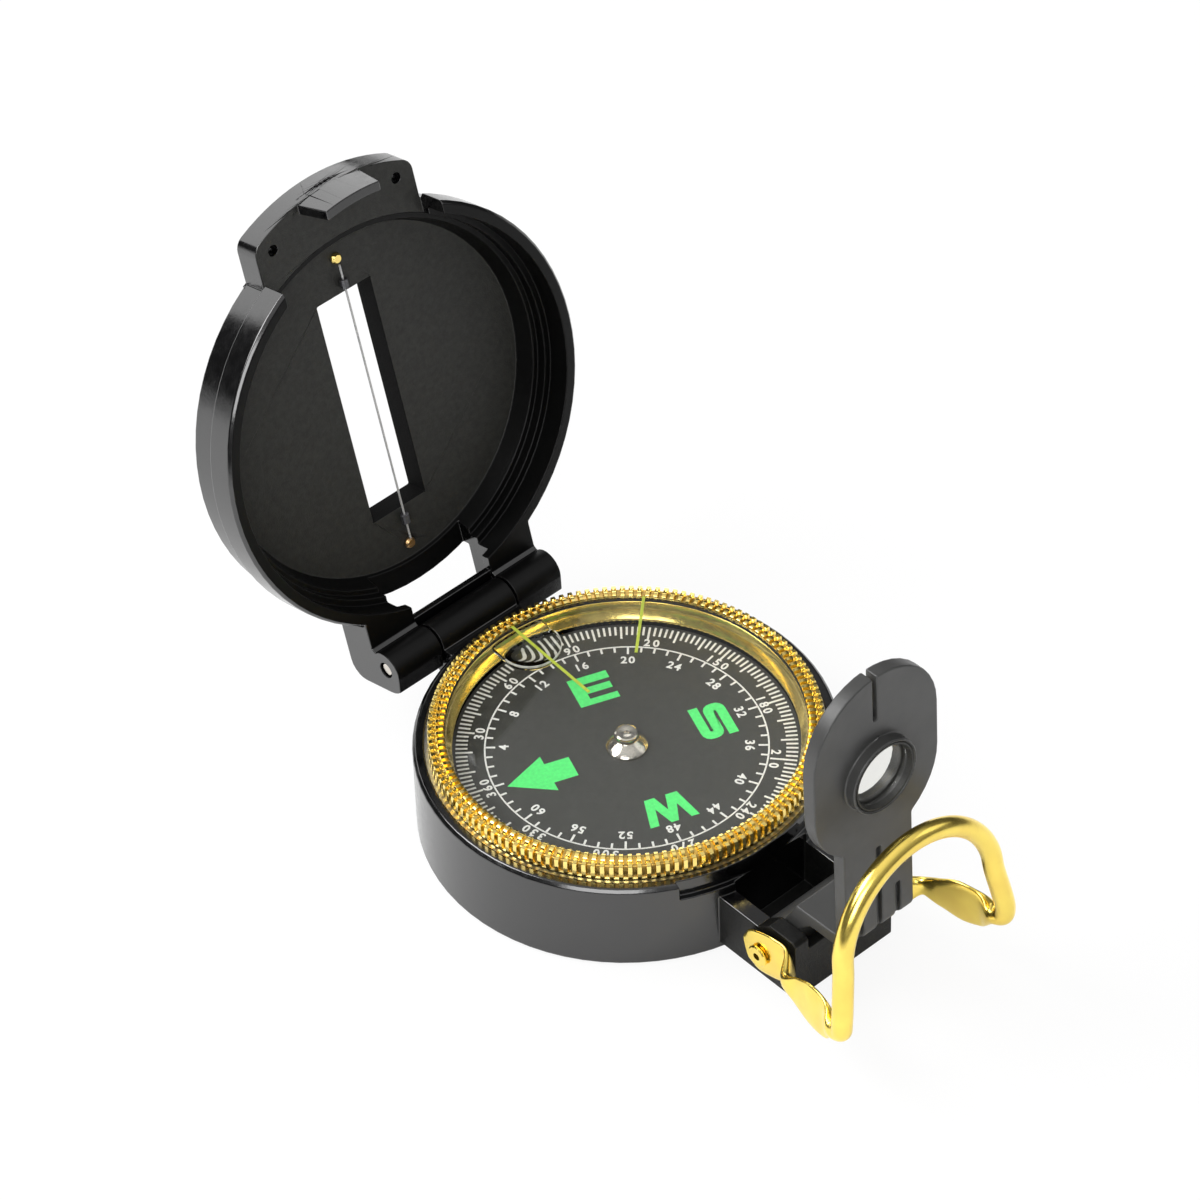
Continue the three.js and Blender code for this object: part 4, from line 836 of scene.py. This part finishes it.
card = turned("dial_card", [
    (CARD_BORE_RADIUS, CARD_BOTTOM), (CARD_RADIUS - CARD_EDGE, CARD_BOTTOM),
    (CARD_RADIUS, CARD_BOTTOM + CARD_EDGE), (CARD_RADIUS, CARD_TOP - CARD_EDGE),
    (CARD_RADIUS - CARD_EDGE, CARD_TOP), (CARD_BORE_RADIUS, CARD_TOP)], ROUND_STEPS)
placed(smooth(painted(card, "dial")), "card", "dial_black", "compass_card")

cap = turned("pivot_cap", CAP_SECTION, CAP_STEPS)
placed(smooth(painted(cap, "chrome"), SHARP_ANGLE_CAP), "card", "chrome", "jewel_cap")

crystal = turned("crystal", [
    (0, CRYSTAL_BOTTOM), (CRYSTAL_RADIUS - CRYSTAL_EDGE, CRYSTAL_BOTTOM),
    (CRYSTAL_RADIUS, CRYSTAL_BOTTOM + CRYSTAL_EDGE), (CRYSTAL_RADIUS, CRYSTAL_TOP - CRYSTAL_EDGE),
    (CRYSTAL_RADIUS - CRYSTAL_EDGE, CRYSTAL_TOP), (0, CRYSTAL_TOP)], ROUND_STEPS)
placed(smooth(painted(crystal, "clear")), "bezel", "clear", "bezel_crystal")

# Reading lens and the frosted line along its round side
MAGNIFIER_INNER = 16.2
MAGNIFIER_HALF_WIDTH = 4.2
MAGNIFIER_OUTER = 23.7
MAGNIFIER_DEPTH = 1.5
MAGNIFIER_CROWN = 0.7
MAGNIFIER_GAP = 0.02
MAGNIFIER_MIDDLE_SHARE = 0.9
MAGNIFIER_INNER_STEPS = 24
MAGNIFIER_OUTER_STEPS = 12
CROWN_SHARES = (0.0, 0.15, 0.3, 0.5, 0.7, 0.85)
FROST_DEPTH = 0.35
FROST_OUTSIDE = 0.07
FROST_INSIDE = 0.03


def inner_outline(inset):
    """The lens's round side toward the dial's middle, from left to right."""
    half = MAGNIFIER_HALF_WIDTH - inset
    centre = MAGNIFIER_INNER + MAGNIFIER_HALF_WIDTH
    outline = []
    for i in range(MAGNIFIER_INNER_STEPS + 1):
        angle = math.pi * (1 + i / MAGNIFIER_INNER_STEPS)
        outline.append((half * math.cos(angle), centre + half * math.sin(angle)))
    return outline


def outer_outline():
    """The lens's side along the bezel, from right to left."""
    spread = math.asin(MAGNIFIER_HALF_WIDTH / MAGNIFIER_OUTER)
    outline = []
    for i in range(MAGNIFIER_OUTER_STEPS + 1):
        angle = math.pi / 2 - spread + 2 * spread * i / MAGNIFIER_OUTER_STEPS
        outline.append((MAGNIFIER_OUTER * math.cos(angle), MAGNIFIER_OUTER * math.sin(angle)))
    return outline


def at_index(points):
    """Points turned from +Y to the index line's azimuth."""
    turn = Matrix.Rotation(-math.radians(INDEX_AZIMUTH), 3, "Z")
    return [turn @ Vector(point) for point in points]


def magnifier():
    """A D-shaped lens with a flat top and a crowned underside."""
    low = CRYSTAL_BOTTOM - MAGNIFIER_DEPTH
    middle = Vector((0, MAGNIFIER_INNER + MAGNIFIER_HALF_WIDTH * MAGNIFIER_MIDDLE_SHARE))
    outline = [Vector(point) for point in inner_outline(0.0) + outer_outline()]
    points = [(*point, CRYSTAL_BOTTOM - MAGNIFIER_GAP) for point in outline]
    for share in CROWN_SHARES:
        drop = MAGNIFIER_CROWN * (1 - (1 - share) ** 2)
        points += [(*point.lerp(middle, share), low + MAGNIFIER_CROWN - drop) for point in outline]
    count = len(outline)
    faces = [tuple(range(count))]
    for ring in range(len(CROWN_SHARES)):
        a = ring * count
        b = a + count
        for i in range(count):
            k = (i + 1) % count
            faces.append((a + i, a + k, b + k, b + i))
    last = len(CROWN_SHARES) * count
    for i in range(count):
        faces.append((last + i, last + (i + 1) % count, len(points)))
    points.append((*middle, low))
    return outward(object_from("magnifier", at_index(points), faces))


reading_lens = smooth(painted(magnifier(), "clear"), SHARP_ANGLE_LENS)
placed(reading_lens, "bezel", "clear", "magnifier_lens")


def magnifier_edge():
    """A thin frosted line along the lens's round side."""
    outer = inner_outline(-FROST_OUTSIDE)
    inner = inner_outline(FROST_INSIDE)
    top = CRYSTAL_BOTTOM - MAGNIFIER_GAP
    low = CRYSTAL_BOTTOM - FROST_DEPTH
    points = []
    for outline, height in ((outer, low), (outer, top), (inner, top), (inner, low)):
        points += [(x, y, height) for x, y in outline]
    count = len(outer)
    faces = [(0, count, 2 * count, 3 * count), (4 * count - 1, 3 * count - 1, 2 * count - 1, count - 1)]
    for ring in range(4):
        after = (ring + 1) % 4
        for i in range(count - 1):
            faces.append((ring * count + i, ring * count + i + 1, after * count + i + 1, after * count + i))
    return outward(object_from("magnifier_edge", at_index(points), faces))


placed(smooth(painted(magnifier_edge(), "frost"), SHARP_ANGLE_LENS), "bezel", "clear")

# Thumb ring: the same centre line and sections as the CAD solid, with many more of them
RING_SIDES = 32
RING_STEPS = 12
EAR_X = 9.45
EAR_HALF_WIDTH = 3.5
EAR_HALF_THICKNESS = 0.45
EAR_TAIL = 2.8
EAR_REACH = 5.4
TAIL_BEND_SHARE = 0.6
EAR_BEND_SHARE = 0.55
EAR_PLACES = (-EAR_TAIL, -EAR_TAIL * TAIL_BEND_SHARE, 0.0, EAR_REACH * EAR_BEND_SHARE, EAR_REACH)
EAR_WIDTH_SHARES = (0.6, 0.9, 1.0, 1.0, 0.75)
PINCH_OFFSET = 7.4
PINCH_RISE = 2.4
PINCH_X = 12.2
PINCH_HALF_WIDTH = 1.3
PINCH_THICKNESS_SHARE = 0.6
PADDLE_HALF_WIDTH = 3.5
PADDLE_TWIST = 10.0
PADDLE_HALF_THICKNESS = 0.55
PADDLE_PLACES = (0.2, 0.45, 0.7)
PADDLE_WIDTH_SHARES = (0.7, 1.0, 0.9)
CORNER = (14.6, -56.3, 11.2)
CORNER_BEND = 2.0
LEG_LENGTH = 9.5
ARCH_HALF_WIDTH = 13.4
ARCH_RISE = 13.1
ARCH_LEAN = 8.0
ARCH_STEPS = 7
WIRE_RADIUS = 1.4
SQUARENESS = 0.25
RIVET_HOLE_RADIUS = 1.3
DRILL_REACH = 28.0
DRILL_STEPS = 40


def ring_stations():
    """Places along the left half of the ring, each with its half height, half thickness and twist."""
    length = math.hypot(PINCH_OFFSET, PINCH_RISE)
    ahead = Vector((0, -PINCH_OFFSET / length, PINCH_RISE / length))
    lean = math.radians(ARCH_LEAN)

    def along_ear(x, distance):
        return Vector((-x, PIVOT_Y, PIVOT_Z)) + ahead * distance

    def on_arch(x, rise):
        return Vector((-x, CORNER[1] + rise * math.sin(lean), CORNER[2] + rise * math.cos(lean)))

    pinch = along_ear(PINCH_X, length)
    corner = on_arch(CORNER[0], 0)
    before = corner.lerp(pinch, CORNER_BEND / (corner - pinch).length)
    after = on_arch(CORNER[0], CORNER_BEND)
    inside = corner.lerp(before.lerp(after, 0.5), 0.5)
    wire = (WIRE_RADIUS, WIRE_RADIUS, 0.0)
    twist = math.radians(PADDLE_TWIST)
    stations = [
        (along_ear(EAR_X, distance), (share * EAR_HALF_WIDTH, EAR_HALF_THICKNESS, 0.0))
        for distance, share in zip(EAR_PLACES, EAR_WIDTH_SHARES)
    ]
    stations.append((pinch, (PINCH_HALF_WIDTH, PINCH_HALF_WIDTH * PINCH_THICKNESS_SHARE, 0.0)))
    stations += [
        (pinch.lerp(corner, place), (share * PADDLE_HALF_WIDTH, PADDLE_HALF_THICKNESS, twist))
        for place, share in zip(PADDLE_PLACES, PADDLE_WIDTH_SHARES)
    ]
    stations += [(at, wire) for at in (before, inside, after)]
    for i in range(ARCH_STEPS + 1):
        angle = math.pi / 2 * i / ARCH_STEPS
        at = on_arch(ARCH_HALF_WIDTH * math.cos(angle), LEG_LENGTH + ARCH_RISE * math.sin(angle))
        stations.append((at, wire))
    return stations


def curve_span(before, start, end, after, share):
    """A point of a centripetal Catmull-Rom span between start and end."""
    pairs = ((before, start), (start, end), (end, after))
    back, span, ahead = ((b - a).length ** 0.5 for a, b in pairs)
    slope = ((start - before) / back - (end - before) / (back + span) + (end - start) / span) * span
    last_slope = ((end - start) / span - (after - start) / (span + ahead) + (after - end) / ahead) * span
    return (start + slope * share + (end * 3 - start * 3 - slope * 2 - last_slope) * share ** 2
            + (start * 2 - end * 2 + slope + last_slope) * share ** 3)


def smooth_between(before, first, second, after, share):
    """A number between first and second, on a smooth curve through all four."""
    slope = (second - before) / 2
    last_slope = (after - first) / 2
    rise = second - first
    return (first + slope * share + (3 * rise - 2 * slope - last_slope) * share ** 2
            + (slope + last_slope - 2 * rise) * share ** 3)


def ring_samples():
    """Many places along the left half of the ring with their sections, ending at its top."""
    stations = ring_stations()
    sections = [stations[0][1], *(station[1] for station in stations), stations[-1][1]]
    at = [station[0] for station in stations]
    at = [at[0] * 2 - at[1], *at, Vector((-at[-2].x, at[-2].y, at[-2].z))]
    samples = []
    for span in range(len(stations) - 1):
        for step in range(RING_STEPS):
            share = step / RING_STEPS
            section = tuple(smooth_between(*values, share) for values in zip(*sections[span:span + 4]))
            samples.append((curve_span(*at[span:span + 4], share), section))
    samples.append((stations[-1][0], stations[-1][1]))
    return samples


def thumb_ring():
    samples = ring_samples()
    rings = []
    normal = Vector((-1, 0, 0))
    for i, (centre, (height, thickness, twist)) in enumerate(samples):
        before = samples[max(i - 1, 0)][0]
        after = samples[min(i + 1, len(samples) - 1)][0]
        tangent = (after - before).normalized() if i + 1 < len(samples) else Vector((1, 0, 0))
        normal = (normal - tangent * normal.dot(tangent)).normalized()
        turn = Matrix.Rotation(-twist, 3, tangent)
        wide = turn @ normal.cross(tangent) * height
        thin = turn @ normal * thickness
        squared = 1.0 - SQUARENESS * min(1.0, abs(height - thickness))
        ring = []
        for k in range(RING_SIDES):
            angle = 2 * math.pi * k / RING_SIDES
            parts = (math.cos(angle), math.sin(angle))
            up, side = (math.copysign(abs(part) ** squared, part) for part in parts)
            ring.append(centre + wide * up + thin * side)
        rings.append(ring)
    rings += [[Vector((-p.x, p.y, p.z)) for p in ring] for ring in reversed(rings[:-1])]
    points = [p for ring in rings for p in ring]
    faces = []
    for i in range(len(rings) - 1):
        for k in range(RING_SIDES):
            j = (k + 1) % RING_SIDES
            a = i * RING_SIDES
            b = a + RING_SIDES
            faces.append((a + k, a + j, b + j, b + k))
    faces.append(tuple(range(RING_SIDES)))
    faces.append(tuple(range(len(points) - RING_SIDES, len(points))))
    return outward(object_from("thumb_ring_wire", points, faces))


def bored(made, radius, start, end):
    """Cuts a round hole along a line through a mesh."""
    way = Vector(end) - Vector(start)
    turn = way.to_track_quat("Z", "Y").to_matrix().to_4x4()
    place = Matrix.Translation((Vector(start) + Vector(end)) / 2 * MM) @ turn
    drill = bmesh.new()
    bmesh.ops.create_cone(drill, cap_ends=True, segments=DRILL_STEPS, radius1=radius * MM,
                          radius2=radius * MM, depth=way.length * MM, matrix=place)
    mesh = bpy.data.meshes.new("drill")
    drill.to_mesh(mesh)
    drill.free()
    cutter = bpy.data.objects.new("drill", mesh)
    scene.collection.objects.link(cutter)
    cut = made.modifiers.new("bore", "BOOLEAN")
    cut.operation = "DIFFERENCE"
    cut.solver = "EXACT"
    cut.object = cutter
    bpy.context.view_layer.update()
    result = bpy.data.meshes.new_from_object(made.evaluated_get(bpy.context.evaluated_depsgraph_get()))
    made.modifiers.clear()
    made.data = result
    bpy.data.objects.remove(cutter)
    bpy.data.meshes.remove(mesh)
    return made


ring = bored(
    thumb_ring(), RIVET_HOLE_RADIUS, (-DRILL_REACH, PIVOT_Y, PIVOT_Z), (DRILL_REACH, PIVOT_Y, PIVOT_Z))
placed(smooth(painted(ring, "gold_wire"), SHARP_ANGLE_RING), "ring", "gold_metal", "thumb_ring")

# The CAD nodes that keep their shape get their materials
KEPT = {
    "pivot_plate": "dial", "pivot_post": "brass", "pivot_needle": "steel", "bezel_spring": "steel",
    "bezel_snap_ring": "steel", "hinge_pin": "chrome", "pivot_rivet_left": "gold_wire",
    "pivot_rivet_right": "gold_wire", "card_magnet": "magnet", "jewel_bearing": "ruby",
    "crystal_gasket": "rubber", "index_line": "index", "bearing_line": "index", "sight_wire": "wire_steel",
    "wire_pin_upper": "gold", "wire_pin_lower": "brass", "wire_crimp_upper": "magnet",
    "wire_crimp_lower": "magnet", "eyepiece_lens": "lens", "lens_ring": "grain",
}
for name, key in KEPT.items():
    painted(nodes[name], key)


# Floor: how much of its own white each kind of ray sees; the rest of it is lit and shows the shadow
FLOOR_HALF = 900.0
FLOOR_SHADE = 0.85
FLOOR_ROUGHNESS = 0.9
FLOOR_GLOW_CAMERA = 0.9
FLOOR_GLOW_GLOSS = 0.1
FLOOR_GLOW_THROUGH = 0.9


def floor_material():
    """Nearly white to the camera and behind clear plastic, and lit as it is for other rays."""
    made = bpy.data.materials.new("floor_white")
    made.use_nodes = True
    tree = made.node_tree
    shader = tree.nodes["Principled BSDF"]
    shader.inputs["Base Color"].default_value = (FLOOR_SHADE, FLOOR_SHADE, FLOOR_SHADE, 1)
    shader.inputs["Roughness"].default_value = FLOOR_ROUGHNESS
    glow = node(tree, "ShaderNodeEmission")
    glow.inputs["Color"].default_value = (1, 1, 1, 1)
    rays = node(tree, "ShaderNodeLightPath")
    seen = product(tree, rays.outputs["Is Camera Ray"], FLOOR_GLOW_CAMERA)
    shine = product(tree, rays.outputs["Is Glossy Ray"], FLOOR_GLOW_GLOSS)
    through = product(tree, rays.outputs["Is Transmission Ray"], FLOOR_GLOW_THROUGH)
    share = node(tree, "ShaderNodeMath", operation="MAXIMUM")
    link(tree, seen, share.inputs[0])
    link(tree, shine, share.inputs[1])
    total = node(tree, "ShaderNodeMath", operation="MAXIMUM")
    link(tree, share.outputs[0], total.inputs[0])
    link(tree, through, total.inputs[1])
    mix = node(tree, "ShaderNodeMixShader")
    link(tree, total.outputs[0], mix.inputs["Fac"])
    link(tree, shader.outputs["BSDF"], mix.inputs[1])
    link(tree, glow.outputs["Emission"], mix.inputs[2])
    link(tree, mix.outputs["Shader"], tree.nodes["Material Output"].inputs["Surface"])
    return made


floor = object_from("floor", [
    (-FLOOR_HALF, -FLOOR_HALF, 0), (FLOOR_HALF, -FLOOR_HALF, 0), (FLOOR_HALF, FLOOR_HALF, 0),
    (-FLOOR_HALF, FLOOR_HALF, 0)], [(0, 1, 2, 3)])
floor.data.materials.append(floor_material())


# World: stops of brightness by height, from nought straight down over a half at the horizon to one
# straight up, for directions behind the compass and in front of it, where Y falls between two limits
BEHIND_LEVELS = ((0.0, 0.8), (0.48, 0.8), (0.5, 0.05), (0.7, 0.08), (0.84, 0.2), (0.92, 0.75), (1.0, 1.0))
FRONT_LEVELS = ((0.0, 0.8), (0.48, 0.8), (0.5, 0.1), (0.6, 0.25), (0.8, 0.4), (0.9, 0.8), (1.0, 1.0))
FRONT_START = -0.35
FRONT_FULL = -0.6


def studio_world():
    """White to the camera; for other rays bright overhead and below, and dim all round, most so behind."""
    world = bpy.data.worlds.new("studio")
    scene.world = world
    world.use_nodes = True
    tree = world.node_tree
    backdrop = tree.nodes["Background"]
    way = node(tree, "ShaderNodeTexCoord").outputs["Generated"]
    parts = node(tree, "ShaderNodeSeparateXYZ")
    link(tree, way, parts.inputs["Vector"])
    height = ranged(tree, parts.outputs["Z"], -1.0, 1.0, 0.0, 1.0)
    levels = []
    for stops in (BEHIND_LEVELS, FRONT_LEVELS):
        ramp = node(tree, "ShaderNodeValToRGB")
        ramp.color_ramp.elements[0].position = stops[0][0]
        ramp.color_ramp.elements[1].position = stops[-1][0]
        for place, _ in stops[1:-1]:
            ramp.color_ramp.elements.new(place)
        for element, (_, level) in zip(ramp.color_ramp.elements, stops):
            element.color = (level, level, level, 1)
        link(tree, height, ramp.inputs["Fac"])
        levels.append(ramp.outputs["Color"])
    front = ranged(tree, parts.outputs["Y"], FRONT_START, FRONT_FULL, 0.0, 1.0)
    link(tree, mixed_colour(tree, front, *levels), backdrop.inputs["Color"])
    white = node(tree, "ShaderNodeBackground")
    rays = node(tree, "ShaderNodeLightPath")
    mix = node(tree, "ShaderNodeMixShader")
    link(tree, rays.outputs["Is Camera Ray"], mix.inputs["Fac"])
    link(tree, backdrop.outputs["Background"], mix.inputs[1])
    white.inputs["Color"].default_value = (1, 1, 1, 1)
    link(tree, white.outputs["Background"], mix.inputs[2])
    link(tree, mix.outputs["Shader"], tree.nodes["World Output"].inputs["Surface"])


studio_world()


def softbox(name, place, size, power, aim=(0, 0, 20)):
    """A lamp of size in mm and power in watts, turned to face its aim."""
    data = bpy.data.lights.new(name, "AREA")
    data.shape = "RECTANGLE"
    data.size, data.size_y = (side * MM for side in size)
    data.energy = power
    made = bpy.data.objects.new(name, data)
    made.location = Vector(place) * MM
    made.rotation_euler = (Vector(place) - Vector(aim)).to_track_quat("Z", "Y").to_euler()
    scene.collection.objects.link(made)


softbox("key_light", place=(-340, 280, 500), size=(400, 300), power=3.3)
softbox("front_light", place=(-380, -260, 360), size=(300, 300), power=1.6, aim=(-90, -60, 0))
softbox("fill_light", place=(450, -250, 400), size=(300, 300), power=0.3)
softbox("back_panel", place=(105, 475, 230), size=(620, 280), power=1.1)

scene.view_settings.view_transform = "Standard"
